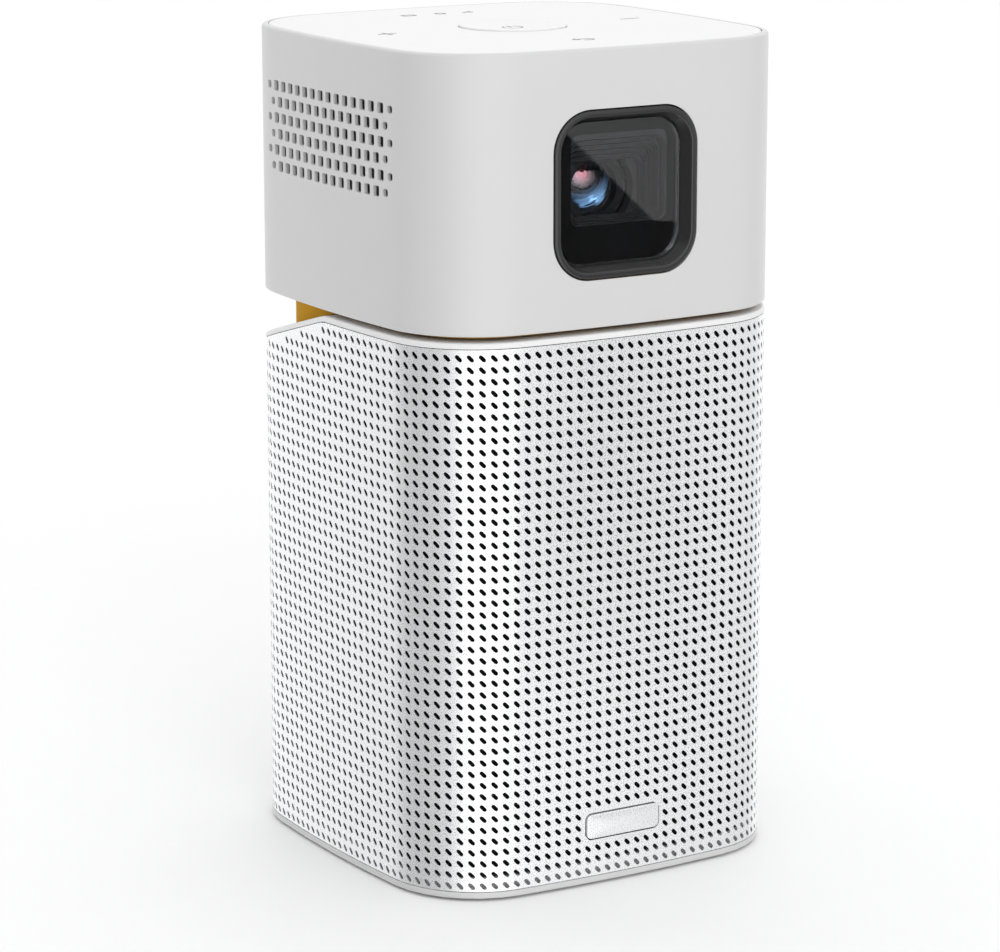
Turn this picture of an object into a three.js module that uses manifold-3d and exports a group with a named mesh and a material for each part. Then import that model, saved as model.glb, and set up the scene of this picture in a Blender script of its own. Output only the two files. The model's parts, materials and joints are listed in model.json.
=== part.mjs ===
// Small upright home projector: a square tower in two halves joined by a tilting neck.
// The lower half holds the loudspeaker, battery and sockets behind an all-round grille.
// The upper half holds the light engine, lens, fan and touch keys, and tilts back on two friction pins.
//
// Millimetres. +Z is up, the origin is the bottom centre, the lens looks along -Y and the focus wheel is at +X.

import * as THREE from "three";
import { mergeVertices } from "three/addons/utils/BufferGeometryUtils.js";
import Module from "manifold-3d";

const wasm = await Module();
wasm.setup();

// ---------------------------------------------------------------- driving dimensions

const HALF_WIDTH = 40; // half of the 80 mm square plan
const HEIGHT = 155; // top of the case; the power key stands 0.3 mm above it
const CORNER_RADIUS = 18.2;
const SIDE_BOW_RADIUS = 303; // each side is a very slow outward curve
const GAP = 0.3; // air between fixed pieces that lie against each other

const HEAD_BOTTOM = 104.9;
const HEAD_WALL = 2;
const COVER = { inset: 1.2, gap: 0.15, seat: 153.2 }; // the top cover lies in a step inside the shell's rim
const EDGE_ROUNDING = 0.5;

const DECK_TOP = 103.8;
const DECK_SLOPE = THREE.MathUtils.degToRad(15.5);
const RIDGE_Y = 1.9; // the deck is level in front of this line and falls away behind it
const RIDGE_ROUNDING = 10;
const RIM_HEIGHT = 1.05;
const BASE_TOP = 1.7;
const GRILLE_WALL = 1;

const TILT_AXIS_Y = 1.9;
const TILT_AXIS_Z = 104.35;
const PIN_RADIUS = 2;

const BEZEL_X = -0.6;
const BEZEL_Z = 128.9;
const BEZEL_SIZE = 30.2;
const BEZEL_CORNER = 7.4;
const LENS_Z = 128.4;

const BUTTON_RADIUS = 10;
const SPEAKER_Z = 62.5; // top of the basket's flange
const CHASSIS_TOP = 86.5;
const BATTERY_Z = 34;

// ---------------------------------------------------------------- finishes

const FINISH = {
  whiteShell: { color: 0xe8e8e6, roughness: 0.45, metalness: 0 },
  whiteMetal: { color: 0xdcdddd, roughness: 0.4, metalness: 0.35 },
  ochre: { color: 0xb8861e, roughness: 0.5, metalness: 0 },
  bezelGrey: { color: 0x3a3a3a, roughness: 0.35, metalness: 0 },
  blackPlastic: { color: 0x141414, roughness: 0.6, metalness: 0 },
  blackCloth: { color: 0x0c0c0c, roughness: 0.95, metalness: 0 },
  clear: { color: 0xdfe6ee, roughness: 0.03, metalness: 0 },
  coatedGlass: { color: 0x9aa7c8, roughness: 0.03, metalness: 0 },
  rubber: { color: 0x2a2a2a, roughness: 0.9, metalness: 0 },
  steel: { color: 0xb5b8ba, roughness: 0.35, metalness: 1 },
  aluminium: { color: 0xc3c6c9, roughness: 0.4, metalness: 1 },
  copper: { color: 0xb4653a, roughness: 0.35, metalness: 1 },
  brass: { color: 0xc6a14e, roughness: 0.35, metalness: 1 },
  boardGreen: { color: 0x1d5c38, roughness: 0.55, metalness: 0 },
  cellBlue: { color: 0x2c5f9e, roughness: 0.4, metalness: 0 },
  coneGrey: { color: 0x2e2e30, roughness: 0.8, metalness: 0 },
};

// ---------------------------------------------------------------- outlines

const arc = (cx, cy, radius, from, to, steps) =>
  Array.from({ length: steps + 1 }, (_, i) => {
    const angle = from + ((to - from) * i) / steps;
    return new THREE.Vector2(cx + radius * Math.cos(angle), cy + radius * Math.sin(angle));
  });

// The bowed square that every shell of the case follows, drawn `inset` mm inside the outer skin.
function caseOutline(inset, cornerSteps = 7, sideSteps = 4) {
  const bowCentre = SIDE_BOW_RADIUS - HALF_WIDTH;
  const reach = SIDE_BOW_RADIUS - CORNER_RADIUS;
  const corner = (Math.sqrt(2 * reach * reach - bowCentre * bowCentre) - bowCentre) / 2;
  const halfAngle = Math.atan2(corner, bowCentre + corner);
  const points = [];
  for (let side = 0; side < 4; side++) {
    const turn = (side * Math.PI) / 2;
    const spin = new THREE.Vector2(0, 0);
    const sideArc = arc(-bowCentre, 0, SIDE_BOW_RADIUS - inset, -halfAngle, halfAngle, sideSteps);
    const cornerArc = arc(corner, corner, CORNER_RADIUS - inset, halfAngle, Math.PI / 2 - halfAngle, cornerSteps);
    for (const point of [...sideArc.slice(0, -1), ...cornerArc.slice(0, -1)]) {
      points.push(point.clone().rotateAround(spin, turn));
    }
  }
  return points;
}

// A rectangle with round corners, centred on (cx, cy).
function roundedRect(width, height, radius, cx = 0, cy = 0, steps = 5) {
  const x = width / 2 - radius;
  const y = height / 2 - radius;
  return [[x, y], [-x, y], [-x, -y], [x, -y]].flatMap(([px, py], quarter) =>
    arc(cx + px, cy + py, radius, (quarter * Math.PI) / 2, ((quarter + 1) * Math.PI) / 2, steps),
  );
}

const circle = (radius, steps = 20) => arc(0, 0, radius, 0, 2 * Math.PI, steps).slice(0, -1);

// Height of the deck's top surface at a given depth: level, then a rounded ridge, then the rear slope.
function deckHeight(y) {
  const tangent = RIDGE_ROUNDING * Math.tan(DECK_SLOPE / 2);
  const start = RIDGE_Y - tangent;
  if (y <= start) return DECK_TOP;
  if (y >= RIDGE_Y + tangent * Math.cos(DECK_SLOPE)) return DECK_TOP - (y - RIDGE_Y) * Math.tan(DECK_SLOPE);
  return DECK_TOP - RIDGE_ROUNDING + Math.sqrt(RIDGE_ROUNDING ** 2 - (y - start) ** 2);
}

// ---------------------------------------------------------------- solids

const toShape = (points, holes = []) => {
  const shape = new THREE.Shape(points);
  shape.holes = holes.map((hole) => new THREE.Path(hole));
  return shape;
};

// A manifold solid from a closed three.js geometry.
function solid(geometry) {
  geometry.deleteAttribute("normal");
  geometry.deleteAttribute("uv");
  const merged = mergeVertices(geometry, 1e-4);
  return new wasm.Manifold(
    new wasm.Mesh({
      numProp: 3,
      vertProperties: new Float32Array(merged.attributes.position.array),
      triVerts: new Uint32Array(merged.index.array),
    }),
  );
}

// Straight prisms: the outline is drawn in the plane square to the named axis.
function prismZ(points, bottom, top, holes) {
  const geometry = new THREE.ExtrudeGeometry(toShape(points, holes), { depth: top - bottom, bevelEnabled: false });
  return solid(geometry.translate(0, 0, bottom));
}

function prismY(points, front, back, holes) {
  const geometry = new THREE.ExtrudeGeometry(toShape(points, holes), { depth: back - front, bevelEnabled: false });
  return solid(geometry.rotateX(Math.PI / 2).translate(0, back, 0));
}

function prismX(points, left, right, holes) {
  const geometry = new THREE.ExtrudeGeometry(toShape(points, holes), { depth: right - left, bevelEnabled: false });
  const turn = new THREE.Matrix4().makeBasis(
    new THREE.Vector3(0, 1, 0),
    new THREE.Vector3(0, 0, 1),
    new THREE.Vector3(1, 0, 0),
  );
  return solid(geometry.applyMatrix4(turn).translate(left, 0, 0));
}

function box(x0, x1, y0, y1, z0, z1) {
  const geometry = new THREE.BoxGeometry(x1 - x0, y1 - y0, z1 - z0);
  return solid(geometry.translate((x0 + x1) / 2, (y0 + y1) / 2, (z0 + z1) / 2));
}

// A turned piece about +Z from [radius, height] pairs that start and end on the axis or close on themselves.
const turned = (pairs, segments = 24) =>
  solid(new THREE.LatheGeometry(pairs.map(([r, z]) => new THREE.Vector2(r, z)), segments).rotateX(Math.PI / 2));

const discAt = (x, y, radius, bottom, top, steps = 10) =>
  prismZ(circle(radius, steps), bottom, top).translate([x, y, 0]);

const rodAlongX = (radius, left, right, y, z, steps = 24) =>
  prismX(circle(radius, steps), left, right).translate([0, y, z]);

const rodAlongY = (radius, front, back, x, z, steps = 24) =>
  prismY(circle(radius, steps), front, back).translate([x, 0, z]);

// ---------------------------------------------------------------- scene helpers

const projector = new THREE.Group();

function makeMesh(name, body, finish) {
  const { vertProperties, triVerts } = body.getMesh();
  const geometry = new THREE.BufferGeometry();
  geometry.setAttribute("position", new THREE.BufferAttribute(vertProperties, 3));
  geometry.setIndex(new THREE.BufferAttribute(triVerts, 1));
  const mesh = new THREE.Mesh(geometry, new THREE.MeshStandardMaterial(finish));
  mesh.name = name;
  return mesh;
}

function addGroup(parent, x = 0, y = 0, z = 0) {
  const group = new THREE.Group();
  group.position.set(x, y, z);
  parent.add(group);
  return group;
}

// ---------------------------------------------------------------- neck: the collar that joins the halves

const NECK = { halfWidth: 36, front: -36, back: 24, corner: 6, wall: 2, frontTop: 114.9, backTop: 107.4 };

const CHEEK_HALF_LENGTH = 5.5; // the cheeks carry the hinge pins and reach down through the deck

// The neck's plan is a rounded oblong that also follows the case's round corners.
function neckPrism(inset, bottom, top, back = NECK.back) {
  const depth = back - NECK.front - 2 * inset;
  const middle = (NECK.front + back) / 2;
  const oblong = roundedRect(2 * (NECK.halfWidth - inset), depth, Math.max(NECK.corner - inset, 1), 0, middle, 4);
  return prismZ(oblong, bottom, top).intersect(prismZ(caseOutline(3.6 + inset), bottom, top));
}

const tiltBack = (body, degrees) =>
  body.translate([0, -TILT_AXIS_Y, -TILT_AXIS_Z]).rotate([-degrees, 0, 0]).translate([0, TILT_AXIS_Y, TILT_AXIS_Z]);

// What stays inside the head's opening as the head tilts, so the collar's front leans back with height.
function sweptPrism(inset) {
  const straight = neckPrism(inset, 60, 150, 60);
  return [5, 10, 15].reduce((sum, degrees) => sum.intersect(tiltBack(straight, degrees)), neckPrism(inset, 80, 120));
}

// The collar stands on the sloping deck and is cut lower towards the back, where the head comes down.
function makeNeck() {
  const profile = [
    [-60, 80], [60, 80], [60, NECK.backTop], [18, NECK.backTop], [6, 112], [-20, NECK.frontTop], [-60, NECK.frontTop],
  ].map(([y, z]) => new THREE.Vector2(y, z));
  const collar = sweptPrism(0).subtract(sweptPrism(NECK.wall)).intersect(prismX(profile, -50, 50));
  const cheeks = [-34.2, 34.2].map((x) =>
    box(x - 1.3, x + 1.3, TILT_AXIS_Y - CHEEK_HALF_LENGTH, TILT_AXIS_Y + CHEEK_HALF_LENGTH, 98.6, 110),
  );
  const pinHoles = rodAlongX(PIN_RADIUS + GAP, -35.3, 35.3, TILT_AXIS_Y, TILT_AXIS_Z, 16);
  return collar.subtract(underDeck(-GAP)).add(cheeks[0]).add(cheeks[1]).subtract(pinHoles);
}

// ---------------------------------------------------------------- lower half: foot, base and grille

const lowerHalf = addGroup(projector);
const SCREW_SPOT = 24.5; // base screws, distance from both centre lines
const PORT = { z: 15, width: 34, height: 11 }; // recessed socket panel at the back

// The space under the deck's top line, pushed down by `drop` mm.
function underDeck(drop) {
  const stations = [-50, RIDGE_Y - 1.4, RIDGE_Y - 0.4, RIDGE_Y + 0.5, RIDGE_Y + 1.35, 50];
  const line = stations.map((y) => new THREE.Vector2(y, deckHeight(y) - drop));
  return prismX([new THREE.Vector2(-50, -10), ...[new THREE.Vector2(50, -10)], ...line.reverse()], -50, 50);
}

function makeFootPad() {
  return prismZ(caseOutline(5), 0, 1.2, [circle(9).reverse()]);
}

function makeBaseCover() {
  const rim = prismZ(caseOutline(0), 0.6, BASE_TOP);
  const step = prismZ(caseOutline(GRILLE_WALL + 0.9), BASE_TOP - 0.1, 4);
  const tray = prismZ(caseOutline(3.6), 3, 5);
  let cover = rim.add(step).subtract(tray);
  cover = cover.subtract(prismZ(caseOutline(4.7), 0, 1.5));
  for (const [x, y] of screwSpots()) {
    cover = cover.add(discAt(x, y, 3.4, 1.6, 7)).subtract(discAt(x, y, 1.5, 0, 8));
    cover = cover.subtract(discAt(x, y, 2.6, 0, 3.2));
  }
  return cover;
}

function screwSpots() {
  return [[-1, -1], [1, -1], [1, 1], [-1, 1]].map(([sx, sy]) => [sx * SCREW_SPOT, sy * SCREW_SPOT]);
}

// Pan-head screw standing head down, its head's underside at the local origin.
function makeScrew(headRadius, shaftRadius, length) {
  const screw = turned([[0, -1.2], [headRadius, -1.2], [headRadius, 0], [shaftRadius, 0], [shaftRadius, length], [0, length]], 10);
  return screw.subtract(box(-0.25, 0.25, -1.2, 1.2, -1.4, -0.7));
}

function makeGrilleShell() {
  const tube = prismZ(caseOutline(0.05), BASE_TOP + 0.15, 108, [caseOutline(GRILLE_WALL).reverse()]);
  const port = prismY(roundedRect(PORT.width, PORT.height, 3, 0, PORT.z), 30, 45);
  return tube.intersect(underDeck(RIM_HEIGHT + 0.12)).subtract(port);
}

function makeGrilleCloth() {
  const tube = prismZ(caseOutline(GRILLE_WALL + GAP, 5, 2), 5, 108, [caseOutline(GRILLE_WALL + GAP + 0.4, 5, 2).reverse()]);
  const port = prismY(roundedRect(PORT.width + 4, PORT.height + 5, 3, 0, PORT.z, 3), 30, 45);
  return tube.intersect(underDeck(6.5)).subtract(port);
}

function makeTopDeck() {
  const skin = prismZ(caseOutline(0), 80, 110).intersect(underDeck(0)).subtract(underDeck(RIM_HEIGHT));
  const plate = prismZ(caseOutline(2.2), 80, 110).intersect(underDeck(RIM_HEIGHT - 0.1)).subtract(underDeck(3));
  const skirt = prismZ(caseOutline(2.2), 80, 110, [caseOutline(3.8).reverse()])
    .intersect(underDeck(2.9))
    .subtract(underDeck(6));
  const notchLength = CHEEK_HALF_LENGTH + GAP;
  const cheekNotch = box(-35.8, 35.8, TILT_AXIS_Y - notchLength, TILT_AXIS_Y + notchLength, 80, 110);
  return skin.add(plate).add(skirt).subtract(neckPrism(NECK.wall + 0.8, 70, 120)).subtract(cheekNotch);
}

function makeChassis() {
  const tube = prismZ(caseOutline(2.4, 5, 2), 7.4, CHASSIS_TOP, [caseOutline(4.2, 5, 2).reverse()]);
  const soundWindowX = prismX(roundedRect(44, 16, 4, 0, 75, 3), -45, 45);
  const soundWindowY = prismY(roundedRect(44, 16, 4, 0, 75, 3), -45, 45);
  const portWindow = prismY(roundedRect(PORT.width + 4, PORT.height + 6, 3, 0, PORT.z, 3), 20, 45);
  const shelf = prismZ(caseOutline(4.1, 5, 2), 58.6, 60.6, [circle(27, 24).reverse()]);
  let chassis = tube.add(shelf).subtract(soundWindowX).subtract(soundWindowY).subtract(portWindow);
  for (const [x, y] of screwSpots()) {
    const post = discAt(x, y, 3.2, 7.4, 14, 12).subtract(discAt(x, y, 1.35, 7, 13, 12));
    const web = box(Math.min(x, x * 1.4), Math.max(x, x * 1.4), y - 0.8, y + 0.8, 9.4, 14);
    chassis = chassis.add(post).add(web.subtract(discAt(x, y, 3, 7, 15, 12)));
  }
  return chassis.subtract(prismZ(caseOutline(-5, 5, 2), 0, 100, [caseOutline(2.4, 5, 2).reverse()]));
}

function makeBadge() {
  return prismY(roundedRect(16.3, 4.8, 1.2, -0.15, 11.3), -40.2, -39.1);
}

function makeBadgeSeat(body) {
  return body.subtract(prismY(roundedRect(16.9, 5.4, 1.5, -0.15, 11.3), -42, -38.6));
}

lowerHalf.add(makeMesh("foot_pad", makeFootPad(), FINISH.rubber));
lowerHalf.add(makeMesh("base_cover", makeBaseCover(), FINISH.whiteShell));
lowerHalf.add(makeMesh("grille_shell", makeBadgeSeat(makeGrilleShell()), FINISH.whiteMetal));
lowerHalf.add(makeMesh("grille_cloth", makeGrilleCloth(), FINISH.blackCloth));
lowerHalf.add(makeMesh("top_deck", makeTopDeck(), FINISH.whiteShell));
lowerHalf.add(makeMesh("chassis", makeChassis(), FINISH.blackPlastic));
lowerHalf.add(makeMesh("badge", makeBadge(), FINISH.whiteMetal));
screwSpots().forEach(([x, y], i) => {
  const screw = makeMesh(`base_screw_${i + 1}`, makeScrew(2.2, 1, 8), FINISH.steel);
  screw.position.set(x, y, 2.9);
  lowerHalf.add(screw);
});

// ---------------------------------------------------------------- lower half: sockets and power

function makePortPanel() {
  const face = prismY(roundedRect(PORT.width - 0.6, PORT.height - 0.6, 2.7, 0, PORT.z), 37.6, 39.2);
  const flange = prismY(roundedRect(PORT.width + 3, PORT.height + 4, 3, 0, PORT.z), 36.2, 37.7);
  const usbSlot = prismY(roundedRect(9.6, 3.8, 1.85, -8, PORT.z - 1.2), 30, 45);
  const dcHole = rodAlongY(3.9, 30, 45, 7, PORT.z - 0.2, 20);
  const resetHole = rodAlongY(0.9, 30, 45, 13.4, PORT.z - 0.2, 12);
  return face.add(flange).subtract(usbSlot).subtract(dcHole).subtract(resetHole);
}

// Local origin at the centre of the socket's mouth, which faces +Y.
function makeUsbSocket() {
  const shell = prismY(roundedRect(8.94, 3.2, 1.55), -7.3, 0, [roundedRect(8.34, 2.56, 1.25).reverse()]);
  const back = box(-4, 4, -7.3, -6.3, -1.5, 1.5);
  const tongue = box(-3.35, 3.35, -6.4, -1, -0.35, 0.35);
  return shell.add(back).add(tongue);
}

function makeDcJack() {
  const bodyBlock = box(-4.5, 4.5, -11, -2.2, -4.6, 4.2);
  const nose = prismY(circle(3.6, 20), -2.4, 0);
  const mouth = prismY(circle(2.75, 20), -9.5, 1);
  const pin = prismY(circle(0.95, 12), -9.6, -1);
  return bodyBlock.add(nose).subtract(mouth).add(pin);
}

function makeResetButton() {
  return rodAlongY(0.6, -3.4, 0, 0, 0, 12).add(rodAlongY(1.3, -3.6, -2.4, 0, 0, 12));
}

function makePowerBoard() {
  const board = prismZ(roundedRect(40, 50, 3, 0, 0, 3), 8.6, 10.2);
  const inductor = box(-6, 2, -14, -6, 10.1, 14.6);
  const capacitors = [[8, -10], [8, -17], [-13, -10], [-13, -17]].map(([x, y]) => discAt(x, y, 2.6, 10.1, 17, 12));
  const controller = box(-4, 4, 2, 10, 10.1, 11.2);
  return [inductor, controller, ...capacitors].reduce((sum, item) => sum.add(item), board);
}

const sockets = addGroup(lowerHalf, 0, 0, 0);
sockets.add(makeMesh("port_panel", makePortPanel(), FINISH.blackPlastic));
const usbSocket = makeMesh("usb_c_socket", makeUsbSocket(), FINISH.steel);
usbSocket.position.set(-8, 38.4, PORT.z - 1.2);
const dcJack = makeMesh("dc_jack", makeDcJack(), FINISH.blackPlastic);
dcJack.position.set(7, 38.4, PORT.z - 0.2);
const resetButton = makeMesh("reset_button", makeResetButton(), FINISH.blackPlastic);
resetButton.position.set(13.4, 38.2, PORT.z - 0.2);
sockets.add(usbSocket, dcJack, resetButton);
sockets.add(makeMesh("power_board", makePowerBoard(), FINISH.boardGreen));

const CELL = { radius: 9.2, length: 65, spacing: 9.8 };

function makeBatteryTray() {
  const block = box(-35, 35, -20.6, 20.6, BATTERY_Z - 11.5, BATTERY_Z - 1);
  const wells = [-1, 1].map((side) => rodAlongX(CELL.radius + 0.4, -33.4, 33.4, side * CELL.spacing, BATTERY_Z));
  return wells.reduce((tray, well) => tray.subtract(well), block).intersect(prismZ(caseOutline(4.7), 0, 100));
}

// Cell lying along X, its middle at the local origin, with the raised contact at +X.
function makeBatteryCell() {
  const can = turned([[0, -32.4], [8.6, -32.4], [CELL.radius, -31.8], [CELL.radius, 31.2], [8.6, 31.8], [3, 31.8], [3, 33], [0, 33]], 20);
  return can.rotate([0, 90, 0]);
}

const battery = addGroup(lowerHalf, 0, 0, BATTERY_Z);
const batteryTray = makeMesh("battery_tray", makeBatteryTray(), FINISH.blackPlastic);
batteryTray.position.z = -BATTERY_Z;
battery.add(batteryTray);
for (const [name, side] of [["battery_cell_front", -1], ["battery_cell_back", 1]]) {
  const cell = makeMesh(name, makeBatteryCell(), FINISH.cellBlue);
  cell.position.y = side * CELL.spacing;
  battery.add(cell);
}

// ---------------------------------------------------------------- lower half: loudspeaker

// Turned pieces share one axis; heights are measured from the speaker's mounting flange.
function makeSpeakerBasket() {
  let basket = turned([[11, -8.6], [13.5, -8.6], [24.6, -1.6], [30, -1.6], [30, 0], [25.6, 0], [25.6, -1], [12.6, -7.2], [11, -7.2], [11, -8.6]], 24);
  for (let i = 0; i < 4; i++) {
    basket = basket.subtract(box(14.5, 22.5, -4, 4, -10, -1.2).rotate([0, 0, 45 + 90 * i]));
  }
  return basket;
}

const makeSpeakerMagnet = () =>
  turned([[0, -18], [13, -18], [13, -8.9], [7.6, -8.9], [7.6, -15], [5.8, -15], [5.8, -8.9], [0, -8.9], [0, -18]], 24);

const makeSpeakerSurround = () =>
  turned([[19.6, 0.35], [22.2, 2.2], [24.8, 0.35], [26.5, 0.35], [26.5, 0.85], [25, 0.85], [22.2, 2.9], [19.4, 0.85], [19.6, 0.35]], 24);

const makeSpeakerCone = () =>
  turned([[0, -3.2], [6.3, -5], [6.3, -11.4], [7, -11.4], [7, -4.8], [19, 0], [19, 0.8], [6.4, -3.6], [0, -1.6]], 24);

const makeSoundDeflector = () =>
  turned([[0, 8], [3, 11], [10, 18], [20, 22.6], [30, 24.2], [30, 25.6], [20, 24.4], [9, 20], [2, 13], [0, 12]], 20).add(
    prismZ(caseOutline(4.5, 5, 2), 24.5, 26, [circle(29, 20).reverse()]),
  );

const speaker = addGroup(lowerHalf, 0, 0, SPEAKER_Z);
speaker.add(makeMesh("speaker_basket", makeSpeakerBasket(), FINISH.steel));
speaker.add(makeMesh("speaker_magnet", makeSpeakerMagnet(), FINISH.steel));
speaker.add(makeMesh("speaker_surround", makeSpeakerSurround(), FINISH.rubber));
speaker.add(makeMesh("speaker_cone", makeSpeakerCone(), FINISH.coneGrey));
speaker.add(makeMesh("sound_deflector", makeSoundDeflector(), FINISH.blackPlastic));

// ---------------------------------------------------------------- neck and tilt hinge


// Pins, washers and arms are drawn for the +X side, on the tilt axis; the other side is the same piece turned round.
const makeHingePin = () =>
  prismX(circle(PIN_RADIUS), 28, 35).add(prismX(circle(3.8, 16), 31.95, 32.6)).add(prismX(circle(3.2, 16), 27.9, 28.9));

const makeFrictionWasher = () => prismX(circle(3.6, 16), 31.2, 31.7, [circle(PIN_RADIUS + GAP, 16).reverse()]);

function makeHingeArm() {
  const eye = prismX(circle(5.2, 16), 29.3, 30.9);
  const strap = prismX(roundedRect(10, 10.8, 1, 0, 5.4, 2), 29.3, 30.9);
  const foot = prismZ(roundedRect(9, 14, 1.5, 26.4, 0, 2), 9.2, 10.8);
  const bore = prismX(circle(PIN_RADIUS + 0.07), 20, 40);
  return eye.add(strap).add(foot).subtract(bore);
}

const hinge = addGroup(projector, 0, TILT_AXIS_Y, TILT_AXIS_Z);
for (const [side, turn] of [["right", 0], ["left", Math.PI]]) {
  const half = addGroup(hinge);
  half.rotation.z = turn;
  half.add(makeMesh(`hinge_pin_${side}`, makeHingePin(), FINISH.steel));
  half.add(makeMesh(`friction_washer_${side}`, makeFrictionWasher(), FINISH.brass));
  half.add(makeMesh(`hinge_arm_${side}`, makeHingeArm(), FINISH.steel));
}
lowerHalf.add(makeMesh("neck", makeNeck(), FINISH.ochre));

// ---------------------------------------------------------------- upper half: case

const upperHalf = addGroup(projector);
const NECK_CLEARANCE = 0.9;
const VENT = { rows: 6, columns: 16, pitch: 3, top: 144.4, width: 1.4, height: 1.9, middle: 0.3, fanSide: -3 };
const WHEEL = { x: 31.2, y: -14, z: 121, radius: 8.6, thickness: 4 };
const FINGER_DISH = { x: 62.6, radius: 24 }; // shallow upright scoop that bares the wheel's rim

// Alternate rows of small upright holes; the odd rows have one hole fewer and sit half a pitch along.
// The left wall has them all and the right wall only those that face the fan.
function ventHoles() {
  const holes = [];
  for (let row = 0; row < VENT.rows; row++) {
    const count = VENT.columns - (row % 2);
    for (let column = 0; column < count; column++) {
      const y = VENT.middle + (column - (count - 1) / 2) * VENT.pitch;
      const z = VENT.top - row * VENT.pitch;
      const halfY = VENT.width / 2;
      const halfZ = VENT.height / 2;
      const right = y > VENT.fanSide ? 45 : -30;
      holes.push(box(-45, right, y - halfY, y + halfY, z - halfZ, z + halfZ));
    }
  }
  return wasm.Manifold.union(holes);
}

function makeHeadShell() {
  const wall = prismZ(caseOutline(0), HEAD_BOTTOM, HEIGHT - EDGE_ROUNDING);
  const rim = prismZ(caseOutline(EDGE_ROUNDING), HEIGHT - EDGE_ROUNDING - 0.1, HEIGHT);
  const inside = prismZ(caseOutline(HEAD_WALL), HEAD_BOTTOM + 1.6, COVER.seat + 0.1);
  const coverSeat = prismZ(caseOutline(COVER.inset), COVER.seat, HEIGHT + 1);
  const opening = neckPrism(-NECK_CLEARANCE, 100, 110, NECK.back + 0.3);
  const bezelHole = prismY(roundedRect(BEZEL_SIZE + 0.5, BEZEL_SIZE + 0.5, BEZEL_CORNER + 0.2, BEZEL_X, BEZEL_Z), -45, -30);
  const wheelSlot = box(30, 45, WHEEL.y - 6.6, WHEEL.y + 6.6, WHEEL.z - 2.6, WHEEL.z + 2.6);
  const fingerDish = discAt(FINGER_DISH.x, WHEEL.y, FINGER_DISH.radius, WHEEL.z - 5, WHEEL.z + 5, 80);
  const hollows = [inside, coverSeat, opening, bezelHole, wheelSlot, fingerDish, ventHoles()];
  return hollows.reduce((shell, hollow) => shell.subtract(hollow), wall.add(rim));
}

function makeTopCover() {
  const plate = prismZ(caseOutline(COVER.inset + COVER.gap), COVER.seat + GAP, HEIGHT);
  const lip = prismZ(caseOutline(HEAD_WALL + GAP), 151.8, COVER.seat + GAP + 0.1, [caseOutline(HEAD_WALL + 1.8).reverse()]);
  return plate.add(lip).subtract(discAt(0, 0, BUTTON_RADIUS + 0.15, 150, 160, 32));
}

// Dished key cap on a short stem, in its own frame: the origin is at the rim of the cap.
const makePowerButton = () =>
  turned([[0, -2.7], [1.6, -2.7], [1.6, -1.5], [9.2, -1.5], [9.9, -1.5], [9.9, -0.2], [9.6, 0], [6.6, -0.35], [3.3, -0.5], [0, -0.55]], 32);

function makeKeyBoard() {
  const board = prismZ(roundedRect(60, 60, 6, 0, 0, 2), 149.4, 150.6);
  const pads = [[-26, 0], [26, 0], [0, -26], [0, 26]].map(([x, y]) => discAt(x, y, 3, 150.5, 151.3, 12));
  return pads.reduce((sum, pad) => sum.add(pad), board);
}

const makePowerSwitch = () => box(-3, 3, -3, 3, 150.9, 151.7).add(discAt(0, 0, 1.7, 151.6, 152, 12));

upperHalf.add(makeMesh("head_shell", makeHeadShell(), FINISH.whiteShell));
upperHalf.add(makeMesh("top_cover", makeTopCover(), FINISH.whiteShell));
const powerButton = makeMesh("power_button", makePowerButton(), FINISH.whiteShell);
powerButton.position.z = HEIGHT + 0.3;
upperHalf.add(powerButton);
upperHalf.add(makeMesh("key_board", makeKeyBoard(), FINISH.boardGreen));
upperHalf.add(makeMesh("power_switch", makePowerSwitch(), FINISH.blackPlastic));

// ---------------------------------------------------------------- upper half: lens window and hood

// Everything here is drawn around the middle of the bezel.
const lensFront = addGroup(upperHalf, BEZEL_X, 0, BEZEL_Z);
const WINDOW = { width: 26.2, height: 26.2, corner: 5.6 };

function makeBezel() {
  const face = prismY(roundedRect(BEZEL_SIZE, BEZEL_SIZE, BEZEL_CORNER), -40, -36.4);
  const sight = prismY(roundedRect(WINDOW.width, WINDOW.height, WINDOW.corner), -45, -30);
  return face.subtract(sight);
}

const makeWindow = () => prismY(roundedRect(WINDOW.width - 0.6, WINDOW.height - 0.6, WINDOW.corner - 0.3), -37.6, -36.6);

// Wide steps that narrow towards the lens: each opening's width, top and bottom, front to back.
const HOOD = { front: -36.2, depth: 1.4, steps: 5, width: 18, top: 9, bottom: -6.2, back: 0.6 };

function makeHood() {
  const end = HOOD.front + HOOD.steps * HOOD.depth + HOOD.back;
  let hood = prismY(roundedRect(26.8, 26.8, 5, 0, 0, 3), HOOD.front, end);
  for (let i = 0; i < HOOD.steps; i++) {
    const width = HOOD.width - i * 0.5;
    const top = HOOD.top - i * 1.15;
    const bottom = HOOD.bottom + i * 0.24;
    const front = HOOD.front + i * HOOD.depth;
    const back = i === HOOD.steps - 1 ? end + 1 : front + HOOD.depth + 0.01;
    hood = hood.subtract(prismY(roundedRect(width, top - bottom, 1.8, 0, (top + bottom) / 2, 3), front - 0.1, back));
  }
  const sensorWell = box(-2.3, 2.3, HOOD.front - 1, HOOD.front + 2.4, -12.1, -6.9);
  return hood.subtract(rodAlongY(7.2, -30.6, -20, 0, LENS_Z - BEZEL_Z, 24)).subtract(sensorWell);
}

const makeLightSensor = () => box(-2, 2, -36, -34.2, -11.7, -7.2);

lensFront.add(makeMesh("lens_bezel", makeBezel(), FINISH.bezelGrey));
lensFront.add(makeMesh("lens_window", makeWindow(), FINISH.clear));
lensFront.add(makeMesh("lens_hood", makeHood(), FINISH.blackPlastic));
lensFront.add(makeMesh("light_sensor", makeLightSensor(), FINISH.bezelGrey));

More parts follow.
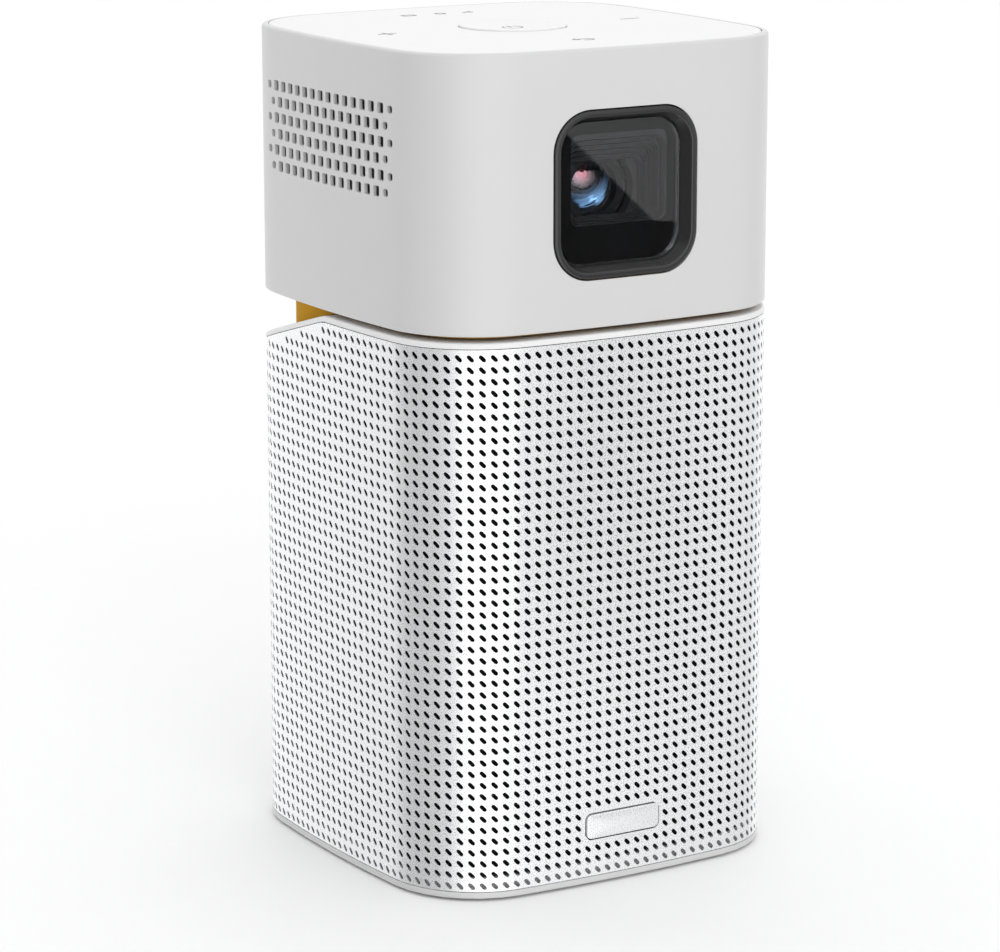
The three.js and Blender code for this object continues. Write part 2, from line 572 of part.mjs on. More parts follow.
// ---------------------------------------------------------------- upper half: focusing lens and wheel

// The barrel carries a rack; the wheel's pinion moves it along the lens axis.
const GEAR = { module: 0.4, teeth: 11 };
const PITCH_RADIUS = (GEAR.module * GEAR.teeth) / 2;
const TOOTH_PITCH = Math.PI * GEAR.module;
const RACK_X = WHEEL.x - PITCH_RADIUS;
const lensGroup = addGroup(upperHalf, BEZEL_X, 0, LENS_Z);

function makeRack() {
  const root = 0.5;
  const bar = box(RACK_X - 2.4, RACK_X - root, WHEEL.y - 7.2, WHEEL.y + 7.2, -1, 1);
  const teeth = [];
  for (let i = -5; i < 5; i++) {
    const y = WHEEL.y + (i + 0.5) * TOOTH_PITCH;
    const tooth = [[-0.42, -root - 0.1], [0.42, -root - 0.1], [0.16, 0.3], [-0.16, 0.3]];
    teeth.push(prismZ(tooth.map(([a, b]) => new THREE.Vector2(b, -a)), -1, 1).translate([RACK_X, y, 0]));
  }
  return teeth.reduce((sum, tooth) => sum.add(tooth), bar);
}

function makeLensBarrel() {
  const tube = turned([[5, 0], [6.6, 0], [6.6, 12.5], [7.6, 12.5], [7.6, 14], [5, 14], [5, 0]], 24).rotate([-90, 0, 0]);
  const body = tube.translate([0, -28.6, 0]);
  const arm = box(6, RACK_X - 0.7 - BEZEL_X, -17, -14.8, -1, 1);
  return body.add(arm).add(makeRack().translate([-BEZEL_X, 0, 0]));
}

// Double-convex glass, its front at the local origin.
function makeLensElement(radius, thickness, bulge) {
  const dome = (sign, z) => Array.from({ length: 4 }, (_, i) => [radius * (i / 3), z + sign * bulge * (1 - (i / 3) ** 2)]);
  const profile = [...dome(-1, 0), ...dome(1, thickness).reverse()];
  return turned(profile, 20).rotate([-90, 0, 0]);
}

function makeFocusWheel() {
  const rimSteps = 30;
  const rim = Array.from({ length: rimSteps * 2 }, (_, i) => {
    const angle = (i * Math.PI) / rimSteps;
    const radius = WHEEL.radius - (i % 2) * 0.35;
    return new THREE.Vector2(radius * Math.cos(angle), radius * Math.sin(angle));
  });
  const wheel = prismZ(rim, -WHEEL.thickness / 2, WHEEL.thickness / 2);
  const hub = prismZ(circle(2.6, 20), 1.9, 5.6);
  const profile = Array.from({ length: GEAR.teeth }, (_, i) => {
    const middle = (i * 2 * Math.PI) / GEAR.teeth + Math.PI;
    return [[-0.19, 1.72], [-0.075, PITCH_RADIUS + 0.3], [0.075, PITCH_RADIUS + 0.3], [0.19, 1.72]].map(
      ([turn, radius]) => new THREE.Vector2(radius * Math.cos(middle + turn), radius * Math.sin(middle + turn)),
    );
  }).flat();
  const pinion = prismZ(profile, 5.5, 9);
  const bore = prismZ(circle(1.07, 16), -5, 12);
  return wheel.add(hub).add(pinion).subtract(bore);
}

const makeWheelShaft = () => prismZ(circle(1, 16), -3.6, 10.6).add(prismZ(circle(2.4, 16), -3.6, -2.6));

lensGroup.add(makeMesh("lens_barrel", makeLensBarrel(), FINISH.blackPlastic));
const frontLens = makeMesh("front_lens", makeLensElement(4.7, 1.2, 0.9), FINISH.coatedGlass);
frontLens.position.y = -27.4;
const rearLens = makeMesh("rear_lens", makeLensElement(4.7, 1, 0.5), FINISH.coatedGlass);
rearLens.position.y = -18.4;
lensGroup.add(frontLens, rearLens);
const wheelGroup = addGroup(upperHalf, WHEEL.x, WHEEL.y, WHEEL.z);
wheelGroup.add(makeMesh("focus_wheel", makeFocusWheel(), FINISH.bezelGrey));
wheelGroup.add(makeMesh("focus_wheel_shaft", makeWheelShaft(), FINISH.steel));

// ---------------------------------------------------------------- upper half: light engine, cooling and boards

function makeEngineHousing() {
  const block = box(-15, 13, -12.6, 18, 117.6, 141);
  const lensPort = rodAlongY(7, -20, -6, BEZEL_X, LENS_Z, 24);
  const cavity = box(-10, 8, -8, 13, 121, 146);
  const ledPorts = [box(-20, -8, -4, 4, 124, 133), box(-4, 4, 10, 20, 124, 133)];
  return ledPorts.reduce((sum, port) => sum.subtract(port), block.subtract(lensPort).subtract(cavity));
}

const makeEngineLid = () => box(-14.6, 12.6, -12.2, 17.6, 141.3, 142.5);

const makeLedModule = () => box(-3.6, 3.6, -0.8, 0, -4, 4).add(box(-1.6, 1.6, -1.6, -0.7, -1.6, 1.6));

const makeImagerBoard = () => box(13.3, 14.5, -10, 14, 119, 139).add(box(14.4, 15.6, -4, 6, 124, 134));

// Comb of upright fins on a base plate, beside the left-hand vents.
function makeHeatSink() {
  let sink = box(-22.4, -20, -16, 20, 118, 144);
  for (let i = 0; i < 9; i++) {
    const y = -15.4 + i * 4.2;
    sink = sink.add(box(-33.6, -20.4, y, y + 1, 118, 144));
  }
  return sink;
}

// Bent pipe that carries heat from the rear lamp to the fins.
function makeHeatPipe() {
  const path = new THREE.CatmullRomCurve3([
    new THREE.Vector3(6, 22.6, 128),
    new THREE.Vector3(-2, 22.6, 128),
    new THREE.Vector3(-12, 22.4, 128),
    new THREE.Vector3(-17.3, 18, 128),
    new THREE.Vector3(-17.8, 8, 128),
    new THREE.Vector3(-17.8, 6, 128),
  ]);
  const section = toShape(circle(1.6, 10));
  return solid(new THREE.ExtrudeGeometry(section, { steps: 18, extrudePath: path, bevelEnabled: false }));
}

const FAN = { x: 24, y: 10, z: 131, size: 26.8, depth: 8, bore: 12.3 };

const makeFanFrame = () => {
  const frame = prismX(roundedRect(FAN.size, FAN.size, 3, 0, 0, 3), 0, FAN.depth, [circle(FAN.bore, 24).reverse()]);
  const arms = box(0, 1, -13.2, 13.2, -0.9, 0.9).add(box(0, 1, -0.9, 0.9, -13.2, 13.2));
  return frame.add(arms).add(prismX(circle(5), 0, 1.2));
};

// Seven raked blades on a hub, turning about the local X axis.
function makeFanRotor() {
  const hub = prismX(circle(5.2, 24), 1.6, 7.4);
  let rotor = hub;
  for (let i = 0; i < 7; i++) {
    const blade = box(-0.35, 0.35, -1.9, 1.9, 4.9, 11.9).rotate([0, 0, 38]).translate([4.5, 0, 0]);
    rotor = rotor.add(blade.rotate([(360 * i) / 7, 0, 0]));
  }
  return rotor;
}

function makeMainBoard() {
  const board = prismZ(roundedRect(56, 54, 3, 0, 3, 3), 144.8, 146);
  const chips = [box(-8, 8, -4, 12, 145.9, 147.6), box(12, 20, -6, 4, 145.9, 147), box(12, 20, 8, 18, 145.9, 147)];
  const radio = box(-22, -12, 12, 24, 145.9, 147.9);
  return [...chips, radio].reduce((sum, chip) => sum.add(chip), board);
}

// Cross frame that the arms and the light engine are fixed to.
function makeHeadFrame() {
  const plate = prismZ(roundedRect(62, 42, 4, 0, -3, 3), 115.45, 117.05);
  const window = prismZ(roundedRect(22, 24, 2, -1, 2.8, 2), 110, 125);
  return plate.subtract(window);
}

upperHalf.add(makeMesh("head_frame", makeHeadFrame(), FINISH.steel));
upperHalf.add(makeMesh("light_engine_housing", makeEngineHousing(), FINISH.aluminium));
upperHalf.add(makeMesh("light_engine_lid", makeEngineLid(), FINISH.aluminium));
upperHalf.add(makeMesh("imager_board", makeImagerBoard(), FINISH.boardGreen));
upperHalf.add(makeMesh("heat_sink", makeHeatSink(), FINISH.aluminium));
upperHalf.add(makeMesh("heat_pipe", makeHeatPipe(), FINISH.copper));
upperHalf.add(makeMesh("main_board", makeMainBoard(), FINISH.boardGreen));
const sideLed = makeMesh("led_module_left", makeLedModule(), FINISH.copper);
sideLed.position.set(-15.3, 0, 128.5);
sideLed.rotation.z = Math.PI / 2;
const rearLed = makeMesh("led_module_rear", makeLedModule(), FINISH.copper);
rearLed.position.set(0, 20, 128.5);
upperHalf.add(sideLed, rearLed);
const fan = addGroup(upperHalf, FAN.x, FAN.y, FAN.z);
fan.add(makeMesh("fan_frame", makeFanFrame(), FINISH.blackPlastic));
fan.add(makeMesh("fan_rotor", makeFanRotor(), FINISH.blackPlastic));

export default projector;
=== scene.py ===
"""Small upright home projector: skins, fine details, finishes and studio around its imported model."""

import json
import logging
import math
from collections.abc import Callable, Sequence
from dataclasses import dataclass, field
from enum import Enum

import bpy
import numpy as np
from mathutils import Matrix, Vector


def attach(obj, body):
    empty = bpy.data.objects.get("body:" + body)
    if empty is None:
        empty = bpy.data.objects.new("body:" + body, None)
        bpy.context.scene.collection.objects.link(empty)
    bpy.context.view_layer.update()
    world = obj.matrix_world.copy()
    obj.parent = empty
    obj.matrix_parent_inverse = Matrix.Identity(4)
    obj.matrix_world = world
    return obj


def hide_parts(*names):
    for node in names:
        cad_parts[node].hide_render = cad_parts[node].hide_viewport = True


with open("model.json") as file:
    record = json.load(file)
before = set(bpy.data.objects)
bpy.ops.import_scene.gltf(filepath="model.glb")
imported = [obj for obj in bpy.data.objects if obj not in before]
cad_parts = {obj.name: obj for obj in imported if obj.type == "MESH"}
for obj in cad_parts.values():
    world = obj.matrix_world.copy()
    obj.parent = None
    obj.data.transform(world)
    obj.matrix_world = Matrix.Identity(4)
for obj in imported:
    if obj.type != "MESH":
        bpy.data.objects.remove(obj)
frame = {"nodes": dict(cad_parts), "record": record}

LOG = logging.getLogger("projector")
MM = 0.001
TURN = 2 * math.pi
SHARP_ANGLE = math.radians(38)
WELD = 1e-4


# ---------------------------------------------------------------- plan shapes


def plain(*values: float) -> np.ndarray:
    """Returns the values as an array of floats."""
    return np.array(values, dtype=float)


@dataclass(frozen=True)
class CaseOutline:
    """The bowed square plan that every shell of the case follows, in millimetres."""

    half_width: float = 40.0
    corner_radius: float = 18.2
    bow_radius: float = 303.0

    @property
    def bow_centre(self) -> float:
        """Distance from the middle of the plan to the centre of a side's arc."""
        return self.bow_radius - self.half_width

    @property
    def corner(self) -> float:
        """Distance of a corner's centre from both centre lines."""
        reach = self.bow_radius - self.corner_radius
        return (math.sqrt(2 * reach**2 - self.bow_centre**2) - self.bow_centre) / 2

    @property
    def half_angle(self) -> float:
        """Half the angle that a side's arc covers."""
        return math.atan2(self.corner, self.bow_centre + self.corner)

    @property
    def side_length(self) -> float:
        """Length of one side's arc."""
        return 2 * self.half_angle * self.bow_radius

    @property
    def quarter(self) -> float:
        """Length round the plan from the middle of one side to the middle of the next."""
        return self.side_length + (math.pi / 2 - 2 * self.half_angle) * self.corner_radius

    @property
    def perimeter(self) -> float:
        """Length all the way round the plan."""
        return 4 * self.quarter

    def at(self, s: np.ndarray, inset: np.ndarray | float = 0.0) -> np.ndarray:
        """Points on the plan, where s runs from the middle of the front towards +X.

        A side is an arc of the bow radius less the inset about a centre far behind it, and a
        corner is an arc of the corner radius less the inset. Each quarter turns the last by 90
        degrees.

        Args:
            s: Length along the outer skin.
            inset: How far inside the outer skin, per point or for all.

        Returns:
            An array like s with x and y in its last axis.
        """
        s, inset = np.broadcast_arrays(np.asarray(s, float), inset)
        along = s + self.side_length / 2
        side = np.floor(along / self.quarter)
        along = along - side * self.quarter
        bow = along / self.bow_radius - self.half_angle
        bend = self.half_angle + (along - self.side_length) / self.corner_radius
        on_side = along < self.side_length
        angle = np.where(on_side, bow, bend)
        radius = np.where(on_side, self.bow_radius, self.corner_radius) - inset
        x = np.where(on_side, 0.0, self.corner) + radius * np.sin(angle)
        y = np.where(on_side, self.bow_centre, -self.corner) - radius * np.cos(angle)
        turn = side * math.pi / 2
        return np.stack([x * np.cos(turn) - y * np.sin(turn), x * np.sin(turn) + y * np.cos(turn)], axis=-1)

    def stations(self, side_step: float = 2.0, corner_step: float = 1.1) -> np.ndarray:
        """Lengths round the whole plan, closer together in the corners, with the start repeated.

        Args:
            side_step: Longest step on a side.
            corner_step: Longest step in a corner.

        Returns:
            Rising lengths.
        """
        corner_length = self.quarter - self.side_length
        sides = np.linspace(0, self.side_length, round(self.side_length / side_step), endpoint=False)
        bend = np.linspace(0, corner_length, round(corner_length / corner_step), endpoint=False)
        one = np.concatenate([sides, self.side_length + bend]) - self.side_length / 2
        round_all = (one + self.quarter * np.arange(4)[:, None]).ravel()
        return np.append(round_all, round_all[0] + self.perimeter)


CASE = CaseOutline()


def rounded_rectangle(
    width: float, height: float, radius: float, centre: Sequence[float] = (0, 0), corner: int = 8
) -> np.ndarray:
    """A rectangle with round corners, anticlockwise.

    Each corner is a quarter circle about a centre set in from both sides by the radius.

    Args:
        width: Size across.
        height: Size up.
        radius: Corner radius.
        centre: Middle of the rectangle.
        corner: Points in each corner.

    Returns:
        Points, four times `corner` by 2.
    """
    quarter = np.repeat(np.arange(4), corner)
    angle = (quarter + np.tile(np.linspace(0, 1, corner), 4)) * math.pi / 2
    sign_x = np.array([1, -1, -1, 1])[quarter]
    sign_y = np.array([1, 1, -1, -1])[quarter]
    x = centre[0] + sign_x * (width / 2 - radius) + radius * np.cos(angle)
    y = centre[1] + sign_y * (height / 2 - radius) + radius * np.sin(angle)
    return np.stack([x, y], axis=-1)


def ring(radius: float, centre: Sequence[float] = (0, 0), steps: int = 48) -> np.ndarray:
    """A circle of points, anticlockwise."""
    angle = np.arange(steps) * TURN / steps
    return np.stack([centre[0] + radius * np.cos(angle), centre[1] + radius * np.sin(angle)], axis=-1)


# ---------------------------------------------------------------- surfaces


def zip_rings(outer: np.ndarray, inner: np.ndarray) -> np.ndarray:
    """Triangles between two rings, one round the other, as numbers into outer then inner.

    Both rings are put in order of their angle about the inner ring's middle. Each edge of one ring
    takes its third corner from the point that the other ring has reached at that angle.

    Args:
        outer: Points of the outer ring, n by 2.
        inner: Points of the inner ring, m by 2.

    Returns:
        Anticlockwise triangles, n + m by 3.
    """
    middle = (inner.max(axis=0) + inner.min(axis=0)) / 2
    angle_out, angle_in = (np.arctan2(*(points - middle).T[::-1]) % TURN for points in (outer, inner))
    order_out, order_in = np.argsort(angle_out, kind="stable"), np.argsort(angle_in, kind="stable")
    next_out = np.append(angle_out[order_out][1:], TURN + angle_out.min())
    next_in = np.append(angle_in[order_in][1:], TURN + angle_in.min())
    n, m = len(outer), len(inner)
    apex_in = np.searchsorted(next_in, next_out, side="left") % m
    apex_out = np.searchsorted(next_out, next_in, side="right") % n
    o, i = order_out, n + order_in
    from_outer = np.stack([o, np.roll(o, -1), i[apex_in]], axis=-1)
    from_inner = np.stack([o[apex_out], np.roll(i, -1), i], axis=-1)
    return np.concatenate([from_outer, from_inner])


@dataclass
class Skin:
    """A surface under construction: points in millimetres and the faces between them."""

    points: list[np.ndarray] = field(default_factory=list)
    faces: list[np.ndarray] = field(default_factory=list)
    count: int = 0

    def add(self, points: np.ndarray, *faces: np.ndarray) -> int:
        """Adds points and faces that number those points.

        Args:
            points: Any array of points with x, y, z last.
            faces: Arrays of three-cornered or four-cornered faces.

        Returns:
            The number that the first of these points has in the whole skin.
        """
        start = self.count
        self.points.append(points.reshape(-1, 3))
        self.faces += [group + start for group in faces if len(group)]
        self.count += self.points[-1].shape[0]
        return start

    def join(self, *faces: np.ndarray) -> None:
        """Adds faces between points that the skin already has."""
        self.faces += [group for group in faces if len(group)]

    def grid(self, points: np.ndarray) -> None:
        """Adds a grid of points as four-cornered faces.

        The faces point along (step to the next column) x (step to the next row), so rows that go
        up a wall and columns that go anticlockwise round it face outwards.

        Args:
            points: Rows by columns by 3.
        """
        rows, columns = points.shape[:2]
        number = np.arange(rows * columns).reshape(rows, columns)
        self.add(points, strips(number))

    def cap(self, loop: np.ndarray, middle: Sequence[float], up: bool) -> None:
        """Closes a loop with triangles to its middle.

        Args:
            loop: Points of the loop.
            middle: The point that the triangles meet at.
            up: Whether they face along the loop's turn, or the other way.
        """
        n = len(loop)
        here = np.arange(n)
        after = np.roll(here, -1)
        hub = np.full(n, n)
        turn = (here, after, hub) if up else (after, here, hub)
        self.add(np.vstack([loop, middle]), np.stack(turn, axis=-1))

    def welded(self) -> tuple[np.ndarray, list[np.ndarray]]:
        """Merges points that coincide and drops faces that lose their area.

        A four-cornered face with one pair of merged corners stays as a triangle.

        Returns:
            The points, and the triangles and four-cornered faces.
        """
        points = np.concatenate(self.points)
        key = np.round(points / WELD).astype(np.int64)
        _, first, merged = np.unique(key, axis=0, return_index=True, return_inverse=True)
        merged = merged.ravel()
        triangles, squares = [], []
        for group in self.faces:
            group = merged[group]
            same = group == np.roll(group, -1, axis=1)
            pairs = same.sum(axis=1)
            if group.shape[1] == 3:
                triangles.append(group[pairs == 0])
            else:
                squares.append(group[pairs == 0])
                single = pairs == 1
                triangles.append(group[single][~same[single]].reshape(-1, 3))
        return points[first], [np.concatenate(kind) for kind in (triangles, squares) if kind]

    def build(self, name: str, sharp: float = SHARP_ANGLE) -> bpy.types.Object:
        """Makes the finished object, in metres, smooth apart from edges over the sharp angle.

        Args:
            name: Name of the object and its mesh.
            sharp: Smallest angle of a sharp edge.

        Returns:
            The object.
        """
        points, groups = self.welded()
        mesh = bpy.data.meshes.new(name)
        mesh.vertices.add(len(points))
        mesh.vertices.foreach_set("co", (points * MM).ravel())
        corners = np.concatenate([group.ravel() for group in groups])
        sizes = np.concatenate([np.full(len(group), group.shape[1]) for group in groups])
        mesh.loops.add(len(corners))
        mesh.loops.foreach_set("vertex_index", corners.astype(np.int32))
        mesh.polygons.add(len(sizes))
        mesh.polygons.foreach_set("loop_start", (np.cumsum(sizes) - sizes).astype(np.int32))
        mesh.polygons.foreach_set("use_smooth", np.ones(len(sizes), dtype=bool))
        mesh.update(calc_edges=True)
        mesh.validate()
        mesh.set_sharp_from_angle(angle=sharp)
        piece = bpy.data.objects.new(name, mesh)
        bpy.context.collection.objects.link(piece)
        return piece


def strips(number: np.ndarray) -> np.ndarray:
    """Four-cornered faces between neighbouring rows and columns of a grid of point numbers.

    Args:
        number: The grid.

    Returns:
        One face for each cell, in the grid's order.
    """
    a, b = number[:-1, :-1], number[:-1, 1:]
    c, d = number[1:, 1:], number[1:, :-1]
    return np.stack([a, b, c, d], axis=-1).reshape(-1, 4)


def band(first: np.ndarray, second: np.ndarray, closed: bool = False) -> np.ndarray:
    """Four-cornered faces between two rows of point numbers.

    Args:
        first: One row.
        second: The row above it.
        closed: Whether the last column joins the first.

    Returns:
        The faces.
    """
    number = np.stack([first, second])
    if closed:
        number = np.concatenate([number, number[:, :1]], axis=1)
    return strips(number)


def at_height(plan: np.ndarray, z: np.ndarray | float) -> np.ndarray:
    """Gives plan points a height."""
    return np.concatenate([plan, np.broadcast_to(z, plan.shape[:-1])[..., None]], axis=-1)


def closed_loft(rows: Sequence[np.ndarray]) -> np.ndarray:
    """Stacks rows of points and repeats the first row and the first column, so the grid closes."""
    grid = np.stack([*rows, rows[0]])
    return np.concatenate([grid, grid[:, :1]], axis=1)


def facing_front(plan: np.ndarray, y: float) -> np.ndarray:
    """Stands a flat figure drawn in x and z upright at depth y, in the order that loops of
    rising depth need to face outwards."""
    return np.stack([plan[:, 0], np.full(len(plan), y), plan[:, 1]], axis=-1)


@dataclass(frozen=True)
class Opening:
    """A hole through a wall of cells, in place of a block of them.

    The rings run from the outer face to the inner one. Each is drawn in length along the outline
    and height, with the inset of each of its points from the outer skin.
    """

    columns: tuple[int, int]
    rows: tuple[int, int]
    rings: tuple[tuple[np.ndarray, np.ndarray | float], ...]


@dataclass
class CellWall:
    """A wall along the case's outline, divided into cells that may each hold one small hole."""

    columns: np.ndarray
    rows: np.ndarray
    outer: float
    inner: float
    roof: Callable[[np.ndarray], np.ndarray] | None = None
    inner_ends: tuple[float, float] | None = None
    closed: bool = True

    def place(self, s: np.ndarray, z: np.ndarray, inset: np.ndarray | float) -> np.ndarray:
        """Points at lengths s along the outline, heights z and the given inset."""
        return at_height(CASE.at(s, inset), z)

    def build(
        self,
        skin: Skin,
        holes: Sequence[tuple[np.ndarray, np.ndarray]],
        span: int,
        openings: Sequence[Opening] = (),
    ) -> None:
        """Adds the wall to a skin, with both faces, the walls of its holes and, if closed, its edges.

        The border of a cell and the ring of its hole are zipped once, and that pattern of
        triangles is repeated by adding each cell's own point numbers.

        Args:
            skin: Where the wall goes.
            holes: For each kind of small hole, its ring about its own middle in length and height,
                and the row and first column of each cell that holds one, k by 2.
            span: How many columns such a cell covers.
            openings: Larger holes.
        """
        s, z = np.meshgrid(self.columns, self.rows)
        if self.roof:
            z = np.minimum(z, self.roof(CASE.at(s)[..., 1]))
        inner_z = z.copy()
        if self.inner_ends:
            inner_z[0], inner_z[-1] = self.inner_ends
        number = np.arange(s.size).reshape(s.shape)
        outside = skin.add(self.place(s, z, self.outer)) + number
        inside = skin.add(self.place(s, inner_z, self.inner)) + number
        faces = [outside, inside]
        solid = np.ones((len(self.rows) - 1, len(self.columns) - 1), dtype=bool)
        for _, spots in holes:
            solid[spots[:, :1], spots[:, 1:] + np.arange(span)] = False
        for opening in openings:
            solid[opening.rows[0] : opening.rows[1], opening.columns[0] : opening.columns[1]] = False
        self.join(skin, faces, lambda number: strips(number).reshape(*solid.shape, 4)[solid])
        for figure, spots in holes:
            self.small_holes(skin, faces, figure, spots, span)
        for opening in openings:
            self.large_hole(skin, faces, opening)
        if self.closed:
            skin.join(band(outside[-1], inside[-1]), band(inside[0], outside[0]))
            skin.join(band(outside[:, 0], inside[:, 0]), band(inside[:, -1], outside[:, -1]))

    def join(
        self, skin: Skin, faces: Sequence[np.ndarray], pattern: Callable[[np.ndarray], np.ndarray]
    ) -> None:
        """Adds one pattern of faces to both sides of the wall, turned round on the inner side."""
        skin.join(pattern(faces[0]), pattern(faces[1])[:, ::-1])

    def border(self, rows: tuple[int, int], columns: tuple[int, int]) -> tuple[np.ndarray, np.ndarray]:
        """Rows and columns of the points round a block of cells, anticlockwise from outside.

        Args:
            rows: First row of the block, and the row after its last.
            columns: The same for columns.

        Returns:
            The row and the column of each point.
        """
        row = np.arange(rows[0], rows[1] + 1)
        column = np.arange(columns[0], columns[1] + 1)
        foot, head = np.full(len(column), rows[0]), np.full(len(column) - 1, rows[1])
        end, start = np.full(len(row) - 1, columns[1]), np.full(len(row) - 2, columns[0])
        i = np.concatenate([foot, row[1:], head, row[-2:0:-1]])
        j = np.concatenate([column, end, column[-2::-1], start])
        return i, j

    def small_holes(
        self, skin: Skin, faces: Sequence[np.ndarray], figure: np.ndarray, spots: np.ndarray, span: int
    ) -> None:
        """Adds the cells that hold a hole, on both sides, and the holes' own walls.

        Args:
            skin: Where they go.
            faces: Point numbers of the outer and the inner side.
            figure: The hole's ring about its own middle.
            spots: Row and first column of each of these cells.
            span: How many columns a cell covers.
        """
        i, j = self.border((0, 1), (0, span))
        edge = np.stack([self.columns[spots[0, 1] + j], self.rows[spots[0, 0] + i]], axis=-1)
        middle = (edge.max(axis=0) + edge.min(axis=0)) / 2
        pattern = zip_rings(edge - middle, figure)
        s = (self.columns[spots[:, 1]] + self.columns[spots[:, 1] + span]) / 2
        z = (self.rows[spots[:, 0]] + self.rows[spots[:, 0] + 1]) / 2
        ring_s, ring_z = s[:, None] + figure[:, 0], z[:, None] + figure[:, 1]
        rings = []
        for number, inset, turn in zip(faces, (self.outer, self.inner), (1, -1)):
            first = skin.add(self.place(ring_s, ring_z, inset))
            hole = first + np.arange(ring_s.size).reshape(ring_s.shape)
            corner = number[spots[:, :1] + i, spots[:, 1:] + j]
            skin.join(np.concatenate([corner, hole], axis=1)[:, pattern].reshape(-1, 3)[:, ::turn])
            rings.append(hole)
        outside, inside = rings
        after_out, after_in = (np.roll(numbers, -1, axis=1) for numbers in rings)
        wall = np.stack([outside, after_out, after_in, inside], axis=-1)
        skin.join(wall.reshape(-1, 4))

    def large_hole(self, skin: Skin, faces: Sequence[np.ndarray], opening: Opening) -> None:
        """Adds the faces round an opening, and its wall from ring to ring.

        Args:
            skin: Where they go.
            faces: Point numbers of the outer and the inner side.
            opening: The opening.
        """
        i, j = self.border(opening.rows, opening.columns)
        edge = np.stack([self.columns[j], self.rows[i]], axis=-1)
        numbers = []
        for plan, inset in opening.rings:
            first = skin.add(self.place(plan[:, 0], plan[:, 1], inset))
            numbers.append(first + np.arange(len(plan)))
        for number, end, turn in zip(faces, (0, -1), (1, -1)):
            both = np.concatenate([number[i, j], numbers[end]])
            skin.join(both[zip_rings(edge, opening.rings[end][0])][:, ::turn])
        for first, second in zip(numbers, numbers[1:]):
            skin.join(band(first, second, closed=True))


def lathe(profile: Sequence[Sequence[float]], steps: int = 64) -> np.ndarray:
    """Turns radius and height pairs about the Z axis.

    Each row is the circle of one pair, so a profile that goes up the outside faces outwards.

    Args:
        profile: Radius and height of each row.
        steps: Points in a circle.

    Returns:
        Rows by columns by 3, with the first column repeated.
    """
    radius, height = np.asarray(profile, float).T
    angle = np.linspace(0, TURN, steps + 1)
    x = radius[:, None] * np.cos(angle)
    y = radius[:, None] * np.sin(angle)
    return np.stack([x, y, np.broadcast_to(height[:, None], x.shape)], axis=-1)


def along_y(grid: np.ndarray, centre: Sequence[float]) -> np.ndarray:
    """Turns a shape about Z so that its axis points to -Y, then moves its origin to the centre."""
    return np.stack([grid[..., 0], -grid[..., 2], grid[..., 1]], axis=-1) + np.asarray(centre, float)


def arc_rows(centre: Sequence[float], radius: float, start: float, end: float, steps: int) -> np.ndarray:
    """Points on an arc in a profile's plane, from the start angle to the end angle in degrees."""
    angle = np.radians(np.linspace(start, end, steps + 1))
    return np.stack([centre[0] + radius * np.cos(angle), centre[1] + radius * np.sin(angle)], axis=-1)


# ---------------------------------------------------------------- finishes


def linear(red: float, green: float, blue: float) -> tuple[float, float, float, float]:
    """Turns screen colour values from 0 to 255 into the linear colour that a shader takes.

    Args:
        red: Red value.
        green: Green value.
        blue: Blue value.

    Returns:
        Linear red, green, blue, and full opacity.
    """
    share = plain(red, green, blue) / 255
    value = np.where(share <= 0.04045, share / 12.92, ((share + 0.055) / 1.055) ** 2.4)
    return (*[float(v) for v in value], 1.0)


